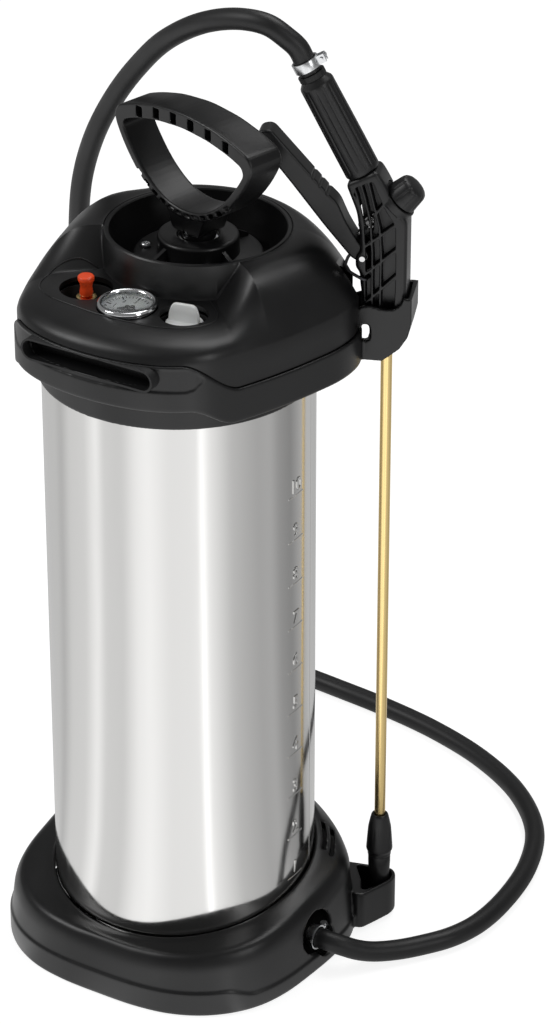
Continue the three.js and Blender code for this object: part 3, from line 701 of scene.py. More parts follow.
# ------------------------------------------------------------------ head
def from_front(angle):
    """Degrees away from straight ahead, positive to the right."""
    return (math.degrees(angle) + 90 + 180) % 360 - 180


def seam_height(angle):
    return 514 - 24 * smooth(28, 46, abs(from_front(angle)))


def console_share(angle):
    side = from_front(angle)
    return 1 - (ramp(43, 58, side) if side > 0 else ramp(45, 60, -side))


CONSOLE_ROLL = [(0, 514.2), (1, 517.4), (2.5, 519.8), (5.5, 522.3), (9.5, 524.4), (15, 526), (21, 527.3),
                (27, CONSOLE_Z)]


def housing_section(angle):
    """Closed (r, z) loop about the pump axis: side wall, dome or console, funnel, and the inside."""
    o = reach(HEAD_LINE, PUMP, angle)
    seam = seam_height(angle) + 0.4
    console = console_share(angle)
    start = o - 2.4
    span = start - 66.4

    def top(share):
        d = share * span
        dome = 514.2 + 38.2 * (1 - (1 - min(1, d / min(span, 42))) ** 2.1)
        return dome * (1 - console) + along(CONSOLE_ROLL, d) * console

    shares = [0, 0.015, 0.035, 0.06, 0.09, 0.125, 0.165, 0.21, 0.26, 0.315, 0.375, 0.44, 0.51, 0.585, 0.66,
              0.74, 0.82, 0.9, 0.96, 1]
    points = [(start, seam), (start, (seam + 514.2) / 2)]
    points += [(start - share * span, top(share)) for share in shares]
    brow = top(1)
    points += [(65.6, brow + (RIM_Z - brow) * 0.08 + 0.2), (65.0, brow + (RIM_Z - brow) * 0.6),
               (64.6, RIM_Z - 0.9), (63.8, RIM_Z), (61.8, RIM_Z), (61.1, RIM_Z - 0.8), (58.4, 535),
               (52.6, 518.6), (50, 516.4), (43.2, 516.2), (43.2, 513.4), (50, 513.3), (54.5, 515),
               (62.4, brow - 4)]
    points += [(start - 2.6 - share * (start - 2.6 - 66),
                top(share) - 3.4) for share in (0.82, 0.6, 0.4, 0.22, 0.1)]
    points += [(start - 3.4, min(511, seam + 8)), (start - 2.8, seam - 2.6), (start - 1.0, seam - 2.6),
               (start - 0.9, seam)]
    return points


GUN_PLACE = shift(*GUN_AT, 0) @ turn(GUN_TURN, "Z")


def gun_place(ob):
    """Puts a piece drawn in the gun's own frame where the gun stands."""
    return moved(ob, GUN_PLACE)


def gun_side(name, line, y0, y1):
    """Cutter drawn in the gun's side view."""
    return gun_place(grid(name, [[(x, y, z) for x, z in line] for y in (y0, y1)], wrap=False))


def head_housing():
    ob = loft("housing", PUMP, 540, housing_section)
    for (x, y), r in ((GAUGE_AT, 20.9), (RELIEF_AT, 18.4), (PLUG_AT, 16.6)):
        ob = carve(ob, rod("hole", r, (x, y, 519.5), (x, y, 540), 96))
    return carve(ob, gun_place(box("gun_bay", (-33, -17, 440), (60, 17, 620))))


def low_height(angle):
    return 480 - 15 * smooth(30, 44, abs(from_front(angle)))


def skirt_section(angle):
    o = reach(HEAD_LINE, PUMP, angle)
    seam, low = seam_height(angle), low_height(angle)
    dx, dy = math.cos(angle), math.sin(angle)
    b = PUMP[0] * dx + PUMP[1] * dy
    c = -b + math.sqrt(b * b - (PUMP[0] ** 2 + PUMP[1] ** 2 - 95.7 ** 2))
    points = [(o - 1.2, low), (o, low + 1.6), (o, seam - 1.1), (o - 1.0, seam), (o - 2.8, seam),
              (o - 2.8, low + 2.6), (c + 2.6, low + 2.6), (c, low + 2.6), (c, 458), (c + 2.4, 458),
              (c + 2.6, low)]
    return [(p.x, p.y) for p in soften(points, [0.6, 1, 0.7, 0.7, 0.4, 1, 0.4, 0.4, 0.6, 0.8, 1.6], 3)]


def pill(half, z0, z1, y0, y1):
    """Stadium-shaped cutter lying along X."""
    r = (z1 - z0) / 2
    bearings = [math.pi * k / 12 for k in range(13)]
    loop = [(half - r + r * math.sin(a), (z0 + z1) / 2 - r * math.cos(a)) for a in bearings]
    loop += [(-x, z0 + z1 - z) for x, z in loop]
    return grid("pill", [[(x, y, z) for x, z in loop] for y in (y0, y1)], wrap=False)


def head_skirt():
    ob = loft("skirt", PUMP, 360, skirt_section)
    # Shallow pill-shaped recess that follows the front, with the grip slot through it.
    straight_ahead = -math.pi / 2
    rows = []
    for k in range(41):
        x = -76 + 152 * k / 40
        y = -reach(HEAD_LINE, (x, 0), straight_ahead)
        half = 9.2 * math.sqrt(max(0.02, 1 - (max(0, abs(x) - 67) / 9.2) ** 2))
        rows.append([(x, y - 3, 503.8 - half), (x, y - 3, 503.8 + half), (x, y + 1.1, 503.8 + half - 0.5),
                     (x, y + 1.1, 503.8 - half + 0.5)])
    ob = carve(ob, grid("recess", rows, wrap=False))
    ob = carve(ob, pill(50, 499, 511.6, -130, -96))
    ob = carve(ob, gun_place(box("gun_bay", (-20, -13.3, 470), (60, 13.3, 560))))
    wall = gun_place(box("cradle", (-34, -16.5, 466), (19, 16.5, 514)))
    inside = [(-60, 473), (1, 473), (8, 478.5), (13, 487), (15.9, 497), (15.9, 540), (-60, 540)]
    belly = [(-1, 455), (-1, 466.1), (3, 469), (11, 476), (16.5, 485), (19.2, 497), (25, 497), (25, 455)]
    front = soften([(-60, 498), (-24, 501), (-12, 508), (0, 504.5), (9, 506), (14, 514.5), (14, 540),
                    (-60, 540)], 6, 5)
    window = soften([(-17.5, 480.5), (-10, 480.5), (-9, 487), (-10.5, 493), (-15, 493)], 2, 4)
    cradle = carve(wall, gun_side("inside", soften(inside, 3, 4), -13.3, 13.3), gun_side("belly", belly,
                                                                                         -20, 20),
                   gun_side("scoop", front, -30, 30), gun_side("window", window, -40, 0),
                   gun_side("window", [(x - 5, z - 13.5) for x, z in window], 0, 40),
                   gun_place(rod("lance_way", 5.6, (0, 0, 440), (0, 0, 490))))
    cradle = carve(cradle, rod("tank_way", 95.5, (0, 0, 440), (0, 0, 530), 128),
                   rod("head_way", 118, (0, 0, 480), (0, 0, 530), 128))
    ob = fuse(ob, cradle)
    for x, y in ((100, 4), (-100, 4), (64, 84), (-64, 84)):
        ob = carve(ob, rod("screw_way", 4.4, (x, y, 440), (x, y, 464.9), 24))
    return mould(ob, 0.9, 2)


def recess_cups():
    """Deep cups under the console that the relief valve and the air plug stand in."""
    cups = []
    for bore, r, at in ((7.6, 20.0, RELIEF_AT), (9.6, 18.2, PLUG_AT)):
        profile = [(bore, 511.4), (r, 511.4), (r, 522), (r - 1.5, 522), (r - 1.5, 513), (bore, 513)]
        cups.append(turned("cups", profile, 96, at, ring=True, radius=0.5))
    return join(cups[0], cups[1:])


def grip_liner():
    """Trough behind the grip slot, closed towards the tank."""
    outer = pill(52.5, 497.2, 513.2, -112.5, -96.2)
    return carve(outer, pill(51, 498.7, 511.9, -120, -97.4))


show(recess_cups(), "sprayer", "black_plastic", BLACK_MATT).name = "recess_cups"
show(grip_liner(), "sprayer", "black_plastic", BLACK_MATT).name = "grip_liner"
show(head_housing(), "sprayer", "black_plastic", BLACK, "head_housing", angle=28)
show(head_skirt(), "sprayer", "black_plastic", BLACK, "head_skirt", angle=60)


def roof_height(x, y):
    """Height of the housing's upper surface over a point of the plan."""
    dx, dy = x - PUMP[0], y - PUMP[1]
    line = housing_section(math.atan2(dy, dx))[1:22]
    r = math.hypot(dx, dy)
    for (r0, z0), (r1, z1) in zip(line, line[1:]):
        if r1 <= r <= r0 and r0 > r1:
            return z0 + (z1 - z0) * (r0 - r) / (r0 - r1)
    return line[-1][1]


def console_line():
    """Fine raised line round the three controls."""
    plan = [(-49, -23, 0), (-62, -28, 0), (-72, -40, 0), (-74, -53, 0), (-70, -64, 0), (-59, -73, 0),
            (-44, -78, 0), (1, -82, 0), (38, -77, 0), (54, -67, 0), (62, -52, 0), (58, -40, 0),
            (44, -27, 0)]
    path = [Vector((p.x, p.y, roof_height(p.x, p.y) + 0.05)) for p in spline(plan, 10)]
    return sweep("console_line", path, 0.6, 10)


show(console_line(), "sprayer", "black_plastic", BLACK, angle=60)


# ------------------------------------------------------------------ pump cap, rod and handle
def pump_cap():
    cap = turned("cap", [(41.4, 518.9), (45, 518.9), (45, 532.6), (44, 534), (28.3, 534), (28.3, 546.5),
                         (26.8, 548), (15.8, 548), (14.3, 546.8), (14.3, 531), (41.4, 531)], 128, PUMP,
                         ring=True, radius=1)
    for degrees in (160, 250, 340, 70):
        side = soften([(0, 533), (15, 533.4), (15, 536), (0, 544)], 0.8, 2)
        ramp_ob = grid("ramp", [[(p.x, y, p.y) for p in side] for y in (-1.5, 1.5)], wrap=False)
        cap = fuse(cap, moved(moved(ramp_ob, shift(27.3, 0, 0)), shift(*PUMP, 0) @ turn(degrees, "Z")))
    for degrees in range(0, 360, 12):
        x, y = polar(PUMP, 45.2, degrees)
        cap = carve(cap, rod("flute", 1.0, (x, y, 517), (x, y, 531), 12))
    return cap


def pan_screw(r, low, high, at):
    head = turned("screw", [(0, low), (r, low), (r, high - 1), (r * 0.7, high), (0, high)], 48, at,
                  radius=0.5)
    x, y = at
    return carve(head, box("slot", (x - r * 0.62, y - 0.45, high - 1.1),
                           (x + r * 0.62, y + 0.45, high + 1)),
                 box("slot", (x - 0.45, y - r * 0.62, high - 1.1), (x + 0.45, y + r * 0.62, high + 1)))


show(pump_cap(), "sprayer", "black_plastic", BLACK, "pump_cap", angle=30)
for number, degrees in enumerate((200, 320), 1):
    show(pan_screw(3.6, 534.3, 536.8, polar(PUMP, 37, degrees)), "sprayer", "zinc", ZINC,
         f"cap_screw_{number}")

HANDLE_OUTER = [(0, 562.5), (18, 565.5), (30, 571), (42, 580), (52, 591), (60, 602), (66, 613), (68, 620),
                (64.5, 627), (50, 632.5), (28, 638), (0, 640.5)]
HANDLE_INNER = [(0, 568.5), (16, 571), (27, 576.5), (38, 585), (47, 595), (55, 606), (59, 613), (57, 618),
                (45, 622.5), (25, 627), (0, 629)]
HANDLE_OUTER_TOP = HANDLE_OUTER[-4:][::-1]
HANDLE_INNER_TOP = HANDLE_INNER[-4:][::-1]
HANDLE_DEPTH = 29.0


def both_sides(half, radius):
    return soften([*half, *[(-x, z) for x, z in reversed(half[1:-1])]], radius, 3)


def handle():
    d = HANDLE_DEPTH / 2
    inner = both_sides(HANDLE_INNER, 7)
    ob = slab("loop", both_sides(HANDLE_OUTER, 8), -d, d, [inner], edge=1.5, steps=3)
    for x in (-42.5, -25.5, -8.5, 8.5, 25.5, 42.5):
        top = along(HANDLE_OUTER_TOP, abs(x)) - 2.3
        low = along(HANDLE_INNER_TOP, abs(x)) + 1.2
        ob = carve(ob, box("pocket", (x - 3, -d - 1, low), (x + 3, -d + 9, top)))
    # Channel with cross ribs along the front of the lower band.
    bow = 0.0093
    for x in range(-44, 45, 8):
        low = 562.5 + bow * abs(x) ** 2 + 2.0
        lean = math.degrees(math.atan(bow * 2 * x)) * 0.9
        cell = moved(box("cell", (-2.6, -d - 1, -0.3), (2.6, -d + 5, 2.6)), turn(-lean, "Y"))
        ob = carve(ob, moved(cell, shift(x, 0, low)))
    shank = turned("shank", [(0, 545), (11.8, 545), (12.6, 546), (12.6, 562), (14.5, 567), (0, 567)], 96)
    neck = grid("neck", [[(p.x, y, p.y) for p in soften([(-20, 569), (-13, 551), (13, 551), (20, 569)], 3,
                                                        3)]
                         for y in (-12.4, 12.4)], wrap=False)
    clear = slab("clear", inner, -d - 2, d + 2, edge=0.01, steps=0)
    ob = fuse(ob, shank, carve(neck, clear))
    ob = carve(ob, rod("bore", 6.3, (0, 0, 540), (0, 0, 559.4)), rod("pin_way", 2.3, (0, -20, 550),
                                                                     (0, 20, 550), 24))
    return moved(mould(ob, 0.6, 3), shift(*PUMP, 0) @ turn(-14, "Z"))


show(handle(), "handle", "black_plastic", BLACK, "handle", angle=60)
show(turned("bright_rod", [(0, 195), (5.4, 195), (6, 196), (6, 558.4), (5.4, 559), (0, 559)], 64, PUMP),
     "handle", "chrome", STEEL_ROD, "piston_rod")


# ------------------------------------------------------------------ gauge, relief valve, air plug
ZERO_AT = 225


def dial_marks():
    """Ring of ticks and numerals printed on the dial, from 0 to 6."""
    marks = []
    for k in range(31):
        degrees = ZERO_AT - 9 * k
        numbered = k % 5 == 0
        inner = 12.2 if numbered else 13.8
        w = 0.42 if numbered else 0.22
        bar = moved(box("tick", (inner, -w, 525.9), (15.6, w, 526.12)), turn(degrees, "Z"))
        marks.append(moved(bar, shift(*GAUGE_AT, 0)))
        if numbered:
            number = numeral(k // 5, 4.6, 0.0001, upright="CENTER")
            marks.append(moved(number, shift(*polar(GAUGE_AT, 9.6, degrees), 526.02)))
    return join(marks[0], marks[1:])


show(turned("bezel", [(18, 528.7), (20.5, 528.7), (20.7, 530.4), (20, 531.8), (19, 532.3), (17.8, 532),
                      (17, 531.2), (17, 530.3), (18, 530.3)], 128, GAUGE_AT, ring=True), "sprayer",
                      "chrome", CHROME, "gauge_bezel")
show(turned("case", [(4.3, 519), (19, 519), (19.6, 519.6), (19.6, 528.4), (18.4, 528.4), (18.4, 521),
                     (4.3, 521)], 96,
            GAUGE_AT, ring=True, radius=0.3), "sprayer", "chrome", CHROME, "gauge_case")
show(turned("dial", [(0, 525), (17.8, 525), (17.8, 526), (0, 526)], 96, GAUGE_AT, radius=0.1), "sprayer",
     "white_plastic", WHITE, "gauge_dial")
show(dial_marks(), "sprayer", "black_fitting", BLACK_MATT).name = "dial_marks"
show(turned("lens", [(0, 528.9), (17.2, 528.75), (17.6, 529), (17.6, 529.5), (9, 530.1), (0, 530.3)], 96,
            GAUGE_AT),
     "sprayer", "clear", LENS, "gauge_lens")


def needle():
    line = [(-5, -0.9), (-4, -1.1), (0, -0.8), (14.2, -0.16), (14.2, 0.16), (0, 0.8), (-4, 1.1), (-5, 0.9)]
    blade = moved(plate("blade", line, 526.5, 527.2), turn(ZERO_AT, "Z"))
    blade = moved(blade, shift(*GAUGE_AT, 0))
    return join(blade, [turned("boss", [(0, 522), (0.8, 522), (0.8, 526.4), (2, 526.4), (2, 527.2),
                                        (1.4, 527.6), (0, 527.7)], 48, GAUGE_AT, radius=0.2)])


show(needle(), "gauge_needle", "black_fitting", BLACK_MATT, "gauge_needle")
show(turned("valve_body", [(4, 499), (4, 510.5), (7, 511), (7, 522), (2.3, 522), (2.3, 520.6), (5, 520.6),
                           (5, 512), (2.6, 512), (2.6, 499)], 64, RELIEF_AT, ring=True, radius=0.25),
                           "sprayer", "brass", BRASS,
     "relief_body")

spring = show(coil("relief_coil", 3.3, 0.45, 4, 515.7, 519.8, shift(*RELIEF_AT, 0)), "sprayer",
              "steel_wire", STEEL_ROD, "relief_spring", angle=60)
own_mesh(spring)
show(turned("red_knob", [(0, 513.9), (4.2, 513.9), (4.2, 514.9), (1.9, 514.9), (1.9, 523), (4.6, 523),
                         (4.6, 526), (4.1, 529), (4.6, 532), (5.7, 534), (5.7, 536.6), (4.8, 537.4),
                         (0, 537.4)], 96, RELIEF_AT,
            radius=0.7), "relief_valve", "red_plastic", RED, "relief_knob")
show(turned("port", [(4, 499), (4, 511), (9, 511.5), (9, 519), (6, 519), (6, 514), (2.6, 514), (2.6, 499)],
            64, PLUG_AT, ring=True, radius=0.25), "sprayer", "black_fitting", BLACK_MATT, "air_port")


def air_plug():
    ob = turned("plug", [(0, 514.4), (5.6, 514.4), (5.6, 519.4), (12.4, 519.4), (13, 520), (13, 522.2),
                         (12.2, 523), (0, 523.2)], 96, radius=0.5)
    line = soften([(-11.5, 521), (11.5, 521), (10.4, 530), (8, 536), (-8, 536), (-10.4, 530)], 3, 4)
    wing = moved(slab("wing", line, -1.6, 1.6, edge=0.7), turn(12, "Z"))
    return moved(mould(fuse(ob, wing), 0.3, 3), shift(*PLUG_AT, 0))


show(air_plug(), "air_plug", "white_plastic", WHITE, "air_plug", angle=60)


# ------------------------------------------------------------------ spray gun
ON_GRIP = shift(0, 0, 566) @ turn(-27.6, "Y")
ON_VALVE = shift(8.5, 0, 582) @ turn(45, "Y")
BODY_SIDE = [(-9, 494), (11.5, 494), (14.5, 499), (14.5, 569), (8, 577), (-2, 597), (-7.2, 605.1),
             (-28.2, 594.2), (-20.5, 574), (-18.5, 560), (-18, 545), (-21, 541), (-21, 533), (-18, 529),
             (-17.5, 520), (-15, 505)]
RIBS = [((-14.5, 549), (6.3, 566.5)), ((-10.7, 531.5), (7.1, 548.3)), ((-8.2, 512.5), (5.1, 526.4)),
        ((-5.5, 576), (-2.6, 580))]


def strip(name, a, b, width, y0, y1):
    """Straight rib between two points of the side view."""
    a, b = Vector(a), Vector(b)
    n = Vector((-(b - a).y, (b - a).x)).normalized() * width / 2
    return grid(name, [[(p.x, y, p.y) for p in (a - n, b - n, b + n, a + n)] for y in (y0, y1)], wrap=False)


def gun_body():
    ob = slab("body", soften(BODY_SIDE, 4, 4), -12, 12, edge=3.2, steps=4)
    # Open cells of the side that shows, with the ribs left standing between them.
    well_line = soften([(-14.8, 503), (-7, 498), (6.4, 498), (7, 530), (6.4, 566), (0, 576), (-6, 589),
                        (-9.5, 598), (-23.5, 591), (-17.4, 574), (-15.6, 560), (-15.4, 540), (-14.6, 522)],
                        3, 3)
    well = grid("well", [[(p.x, y, p.y) for p in well_line] for y in (-13, -6.6)], wrap=False)
    for a, b in RIBS:
        well = carve(well, strip("rib", Vector(a) + (Vector(a) - Vector(b)), Vector(b) * 2 - Vector(a), 1.7,
                                 -14, -5))
    for line in (((-14.2, 496), (-14.6, 545), (-16, 568), (-20, 586), (-25, 600)),
                 ((-9, 496), (-9.3, 545), (-10.8, 568), (-15, 586), (-20, 603)),
                 ((-3.7, 496), (-3.2, 545), (-4.6, 564), (-9, 582), (-14, 603))):
        for a, b in zip(line, line[1:]):
            well = carve(well, strip("line", a, b, 1.5, -14, -5))
    ob = carve(ob, well)
    ob = fuse(ob, moved(rod("boss", 13.8, (0, 0, -7), (0, 0, -1.2), 64), ON_VALVE))
    lever = grid("lever", [[(x, y, z) for x, z in ((-60, 529), (-9.5, 529), (-9.5, 572), (-15, 578),
                                                   (-60, 578))]
                           for y in (-9, 9)], wrap=False)
    ob = carve(ob, rod("lance_way", 4.3, (0, 0, 480), (0, 0, 512.4)), rod("nut_way", 6.3, (0, 0, 480),
                                                                          (0, 0, 500)),
               moved(rod("knob_way", 14.5, (0, 0, -1.1), (0, 0, 20), 64), ON_VALVE),
               moved(rod("valve_way", 6, (0, 0, -36), (0, 0, 10)), ON_VALVE),
               moved(rod("spindle_way", 2.8, (0, 0, -70), (0, 0, -30), 24), ON_VALVE), lever,
               rod("latch_way", 1.7, (-13, -20, 525), (-13, 20, 525), 24),
               moved(rod("grip_way", 6.2, (0, 0, 22), (0, 0, 60)), ON_GRIP))
    pin = frame_pin()
    ob = carve(ob, rod("pin_way", 2.3, (pin[0], -20, pin[1]), (pin[0], 20, pin[1]), 24))
    return gun_place(mould(ob, 0.42, 3))


def frame_pin():
    """Place of the trigger pin in the gun's own side view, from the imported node's box."""
    low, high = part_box("trigger_pin")
    middle = Vector([(a + b) / 2 / MM for a, b in zip(low, high)])
    local = turn(-GUN_TURN, "Z") @ (middle - Vector((*GUN_AT, 0)))
    return local.x, local.z


TRIGGER_SIDE = [(-90, 621), (-88, 627), (-80, 629), (-40, 584), (-34, 578.5), (-28, 564.5), (-21.6, 553.2),
                (-13.5, 544.5), (-11.6, 540), (-13.5, 536.3), (-18, 535.6), (-24, 538), (-43, 561),
                (-66, 591)]


def trigger():
    ob = slab("lever", soften(TRIGGER_SIDE, 4, 4), -8.4, 8.4, edge=1.6, steps=3)
    hollow = soften([(-80, 618), (-78, 620), (-45, 582), (-38, 570), (-30, 555), (-34, 546), (-48, 562),
                     (-70, 590)], 3, 3)
    ob = carve(ob, grid("hollow", [[(p.x, y, p.y) for p in hollow] for y in (-6, 6)], wrap=False))
    # Ridges for the thumb near the lever's end.
    for back in (41, 46, 51):
        z = 584 + (back - 40) * 1.125
        ob = carve(ob, box("notch", (-back - 1, -10, z - 1.2), (-back + 1, 10, z + 3)))
    pin = frame_pin()
    ob = carve(ob, rod("pin_way", 2.3, (pin[0], -20, pin[1]), (pin[0], 20, pin[1]), 24))
    return gun_place(mould(ob, 0.42, 3))


def gun_grip():
    """Tapered sleeve with long grooves round its sides."""
    rows = []
    lengths = [38.3, 38.8, 39.8, 42, 44, 60, 80, 100, 105, 107, 108.5, 111, 112]
    radii = [11.2, 11.9, 12.3, 12.3, 12.3, 12.3, 12.2, 12.0, 12.0, 12.0, 11.6, 9.6, 9.2]
    for k in range(192):
        a = math.tau * k / 192
        groove = 0.6 * (0.5 - 0.5 * math.cos(a * 14)) ** 6
        row = []
        for s, r in zip(lengths, radii):
            depth = groove * smooth(41, 45, s) * (1 - smooth(103, 107, s))
            row.append(((r - depth) * math.cos(a), (r - depth) * math.sin(a), s))
        row += [(7.15 * math.cos(a), 7.15 * math.sin(a), s) for s in (112, 80, 38.3)]
        rows.append(row)
    return gun_place(moved(grid("grip", rows), ON_GRIP))


def valve_knob():
    profile = [(0, -4.5), (5.7, -4.5), (5.7, -0.8), (11.6, -0.8), (12.2, -0.2), (12.2, 1), (11.7, 4),
               (11.1, 8), (10.6, 11), (9.9, 12.7), (8.6, 13.8), (6.6, 14.4), (4.5, 14.7), (0, 14.8)]
    rows = []
    for k in range(180):
        a = math.tau * k / 180
        wave = 0.4 * max(0.0, math.cos(a * 10)) ** 6
        radii = [r - wave * smooth(0.8, 3, z) * smooth(6, 10, r) for r, z in profile]
        rows.append([(r * math.cos(a), r * math.sin(a), z) for r, (_, z) in zip(radii, profile)])
    n, m = len(rows), len(profile)
    faces = [(i * m + j, ((i + 1) % n) * m + j, ((i + 1) % n) * m + j + 1, i * m + j + 1)
             for i in range(n) for j in range(m - 1)]
    return gun_place(moved(solid("knob", [p for row in rows for p in row], faces), ON_VALVE))


def latch():
    path = [(-13, -10.4, 525), (-13, -12.6, 525.1), (-14.4, -13.8, 525.7), (-22, -13.8, 529.4),
            (-26.4, -12.4, 531.6), (-28, -8, 532.4), (-28.4, 0, 532.6), (-28, 8, 532.4),
            (-26.4, 12.4, 531.6), (-22, 13.8, 529.4), (-14.4, 13.8, 525.7), (-13, 12.6, 525.1),
            (-13, 10.4, 525)]
    return gun_place(sweep("wire", spline(path, 6), 1.15, 20))


def hex_nut():
    low, high, r = 483, 491, 17 / math.sqrt(3)
    nut = grid("nut", [[(r * k * math.cos(math.tau * i / 6), r * k * math.sin(math.tau * i / 6),
                         z) for i in range(6)]
                       for z, k in ((low, 0.9), (low + 1, 1), (high - 1, 1), (high, 0.9))], wrap=False)
    nut = fuse(nut, rod("collar", 6, (0, 0, 490.5), (0, 0, 495.8)))
    return gun_place(carve(nut, rod("way", 4.3, (0, 0, 480), (0, 0, 500))))


def nozzle_nut():
    ob = turned("nozzle_nut", [(4.3, 60), (7.4, 60), (7.4, 52), (8.6, 52), (8.6, 54.5), (9.7, 57),
                               (9.7, 58.5), (8.9, 70), (8.4, 76), (7.2, 82), (6.3, 86), (5.6, 87),
                               (4.3, 87)], 96, ring=True,
                radius=0.5)
    for k in range(16):
        a = math.tau * k / 16
        top, low = (8.7 * math.cos(a), 8.7 * math.sin(a), 79), (10.4 * math.cos(a), 10.4 * math.sin(a), 60)
        ob = carve(ob, rod("flute", 0.8, low, top, 12))
    return gun_place(ob)


def nozzle_head():
    ob = turned("nozzle_head", [(3.2, 44), (7, 44), (7, 51.7), (8.2, 51.7), (8.2, 46), (7.6, 34), (7.2, 16),
                                (6.2, 12.5), (5, 12.5), (5, 20), (3.2, 20)], 96, ring=True, radius=0.4)
    for k in range(14):
        a = math.tau * k / 14
        ob = carve(ob, rod("flute", 0.7, (7.9 * math.cos(a), 7.9 * math.sin(a), 20),
                           (8.7 * math.cos(a), 8.7 * math.sin(a), 44), 12))
    return gun_place(ob)


show(gun_body(), "gun", "black_plastic", BLACK_GUN, "gun_body", angle=60)
show(gun_grip(), "gun", "black_plastic", BLACK_GUN, "gun_grip", angle=40)
show(trigger(), "trigger", "black_plastic", BLACK_GUN, "trigger", angle=60)
show(valve_knob(), "valve_knob", "black_plastic", BLACK_GUN, "valve_knob", angle=40)
show(latch(), "latch", "steel_wire", DARK_STEEL, "trigger_latch", angle=60)
show(hex_nut(), "gun", "brass", BRASS, "lance_nut")
show(gun_place(turned("lance", [(2.9, 46), (4, 46), (4, 512), (2.9, 512)], 64, ring=True, radius=0.2)),
     "gun", "brass", BRASS, "lance_tube")
show(nozzle_nut(), "gun", "black_plastic", BLACK_GUN, "nozzle_nut")
show(nozzle_head(), "nozzle", "black_plastic", BLACK_GUN, "nozzle_head")
show(clamp("gun_band", 7, GUN_PLACE @ ON_GRIP @ shift(0, 0, 119) @ turn(-90, "Z")), "gun", "zinc", ZINC,
     "gun_clamp")

spring = show(coil("valve_coil", 4.1, 0.6, 8, -26.6, -5.4, GUN_PLACE @ ON_VALVE), "gun", "steel_wire",
              STEEL_ROD, "valve_spring", angle=60)
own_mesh(spring)

# ------------------------------------------------------------------ CAD pieces that stay
SLOT_MATERIAL = {
    "stainless": STEEL_SHEET, "black_plastic": BLACK, "black_fitting": BLACK_MATT, "rubber": RUBBER,
    "brass": BRASS, "zinc": ZINC, "steel_wire": STEEL_ROD, "chrome": CHROME, "red_plastic": RED,
    "white_plastic": WHITE, "grey_plastic": GREY, "clear": LENS}


def finish_cad_nodes():
    for entry in frame["record"]["subparts"]:
        ob = frame["nodes"][entry["node"]]
        if not ob.material_slots:
            ob.data.materials.append(None)
        for socket in ob.material_slots:
            socket.material = SLOT_MATERIAL[entry["material_slot"]]


finish_cad_nodes()


# ------------------------------------------------------------------ studio
def bearing_ramp(tree, stops):
    """Grey that depends on the bearing from the tank's axis: stops are (degrees from +X, grey)."""
    coordinates = tree.nodes.new("ShaderNodeTexCoord")
    parts = tree.nodes.new("ShaderNodeSeparateXYZ")
    bearing = tree.nodes.new("ShaderNodeMath")
    bearing.operation = "ARCTAN2"
    turns = tree.nodes.new("ShaderNodeMapRange")
    turns.inputs["From Min"].default_value = -math.pi
    turns.inputs["From Max"].default_value = math.pi
    painted_bands = tree.nodes.new("ShaderNodeValToRGB")
    tree.links.new(coordinates.outputs["Object"], parts.inputs["Vector"])
    tree.links.new(parts.outputs["Y"], bearing.inputs[0])
    tree.links.new(parts.outputs["X"], bearing.inputs[1])
    tree.links.new(bearing.outputs["Value"], turns.inputs["Value"])
    tree.links.new(turns.outputs["Result"], painted_bands.inputs["Fac"])
    elements = painted_bands.color_ramp.elements
    while len(elements) < len(stops):
        elements.new(0.5)
    for element, (degrees, value) in zip(elements, sorted(stops)):
        element.position = (degrees + 180) / 360
        element.color = (value, value, value, 1)
    return painted_bands.outputs["Color"]


def seen_or_reflected(tree, seen, reflected, output):
    """One shader for what the eye sees directly, another for what lights and reflects in the object."""
    path = tree.nodes.new("ShaderNodeLightPath")
    pick = tree.nodes.new("ShaderNodeMixShader")
    tree.links.new(path.outputs["Is Camera Ray"], pick.inputs["Fac"])
    tree.links.new(reflected, pick.inputs[1])
    tree.links.new(seen, pick.inputs[2])
    tree.links.new(pick.outputs["Shader"], output)
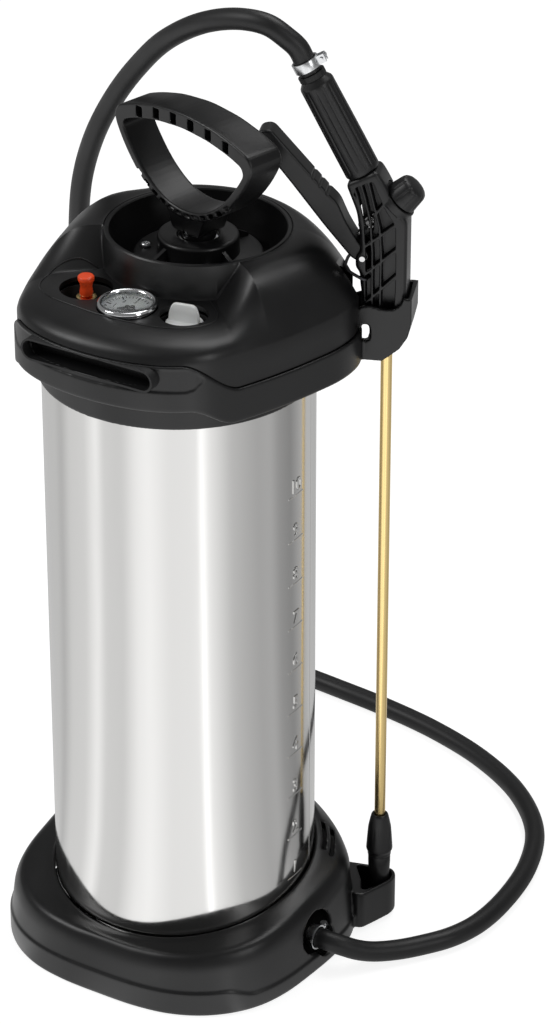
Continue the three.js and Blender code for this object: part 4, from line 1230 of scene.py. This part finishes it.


# Painted reflection bands round the tank, as (bearing, brightness): the floor glows with these for
# reflected and lighting rays only. No sheet, card or lamp stands there; the bright bands are painted
# highlights and reflections, the dim ones painted shade.
PAINTED_FAR_SIDE_REFLECTION = [(-180, 0.7), (-170, 0.6)]
PAINTED_LEFT_REFLECTION = [(-158, 0.85), (-140, 0.9), (-128, 1.25), (-120, 0.9), (-104, 0.86)]
PAINTED_FRONT_REFLECTION = [(-92, 1.2), (-82, 1.3), (-66, 1.1), (-50, 1.12), (-43, 1.15)]
PAINTED_STRIP_HIGHLIGHT = [(-40, 1.9), (-36, 1.2), (-28, 1.0)]
SHADED_RIGHT = [(-16, 0.7), (-4, 0.6), (8, 0.52), (20, 0.55)]
PAINTED_DARK_BAND = [(30, 0.4), (44, 0.32), (58, 0.5)]
PAINTED_BACK_REFLECTIONS = [(72, 0.62), (98, 0.5), (114, 0.75), (126, 0.4), (140, 0.6), (180, 0.7)]


def studio_floor():
    """Floor that is plain white to the camera. To every other ray it glows in bands by bearing, painted
    light and shade that paint reflections on the steel and light the object.
    """
    floor = box("floor", (-9000, -9000, -20), (9000, 9000, 0))
    material, tree, shader = node_material("paper_with_painted_reflections", (0.42, 0.42, 0.42), 0.8)
    spread(tree, noise(tree, 30, 3), 0.78, 0.86, shader.inputs["Roughness"])
    shader.inputs["Emission Color"].default_value = (1, 1, 1, 1)
    shader.inputs["Emission Strength"].default_value = 0.84
    # Painted reflection: an emission in bands by bearing, seen only by reflected and lighting rays,
    # standing in for studio sheets and lamps that are not there.
    painted_bands = tree.nodes.new("ShaderNodeEmission")
    stops = [*PAINTED_FAR_SIDE_REFLECTION, *PAINTED_LEFT_REFLECTION, *PAINTED_FRONT_REFLECTION, *PAINTED_STRIP_HIGHLIGHT, *SHADED_RIGHT, *PAINTED_DARK_BAND, *PAINTED_BACK_REFLECTIONS]
    tree.links.new(bearing_ramp(tree, stops), painted_bands.inputs["Color"])
    output = tree.nodes["Material Output"].inputs["Surface"]
    seen_or_reflected(tree, shader.outputs["BSDF"], painted_bands.outputs["Emission"], output)
    floor.data.materials.append(material)


def studio_world():
    world = bpy.data.worlds.new("studio")
    bpy.context.scene.world = world
    world.use_nodes = True
    tree = world.node_tree
    tree.nodes["Background"].inputs["Color"].default_value = (1, 1, 1, 1)
    room = tree.nodes.new("ShaderNodeBackground")
    room.inputs["Color"].default_value = (0.2, 0.2, 0.2, 1)
    seen_or_reflected(tree, tree.nodes["Background"].outputs["Background"], room.outputs["Background"],
                      tree.nodes["World Output"].inputs["Surface"])


def soft_box(name, place, aim, width, height, power):
    data = bpy.data.lights.new(name, "AREA")
    data.shape = "RECTANGLE"
    data.size, data.size_y = width, height
    data.energy = power
    ob = add(bpy.data.objects.new(name, data))
    ob.location = place
    ob.rotation_euler = (Vector(aim) - Vector(place)).to_track_quat("-Z", "Y").to_euler()


studio_floor()
studio_world()
soft_box("key", (-1.5, -1.2, 2.2), (0, 0, 0.45), 0.8, 1.4, 22)
soft_box("fill", (2.3, -0.6, 1.5), (0, 0, 0.45), 0.6, 1.4, 9)
soft_box("top", (0.1, 0.9, 2.4), (0, 0, 0.5), 1.6, 1.0, 18)
bpy.context.scene.view_settings.view_transform = "Standard"
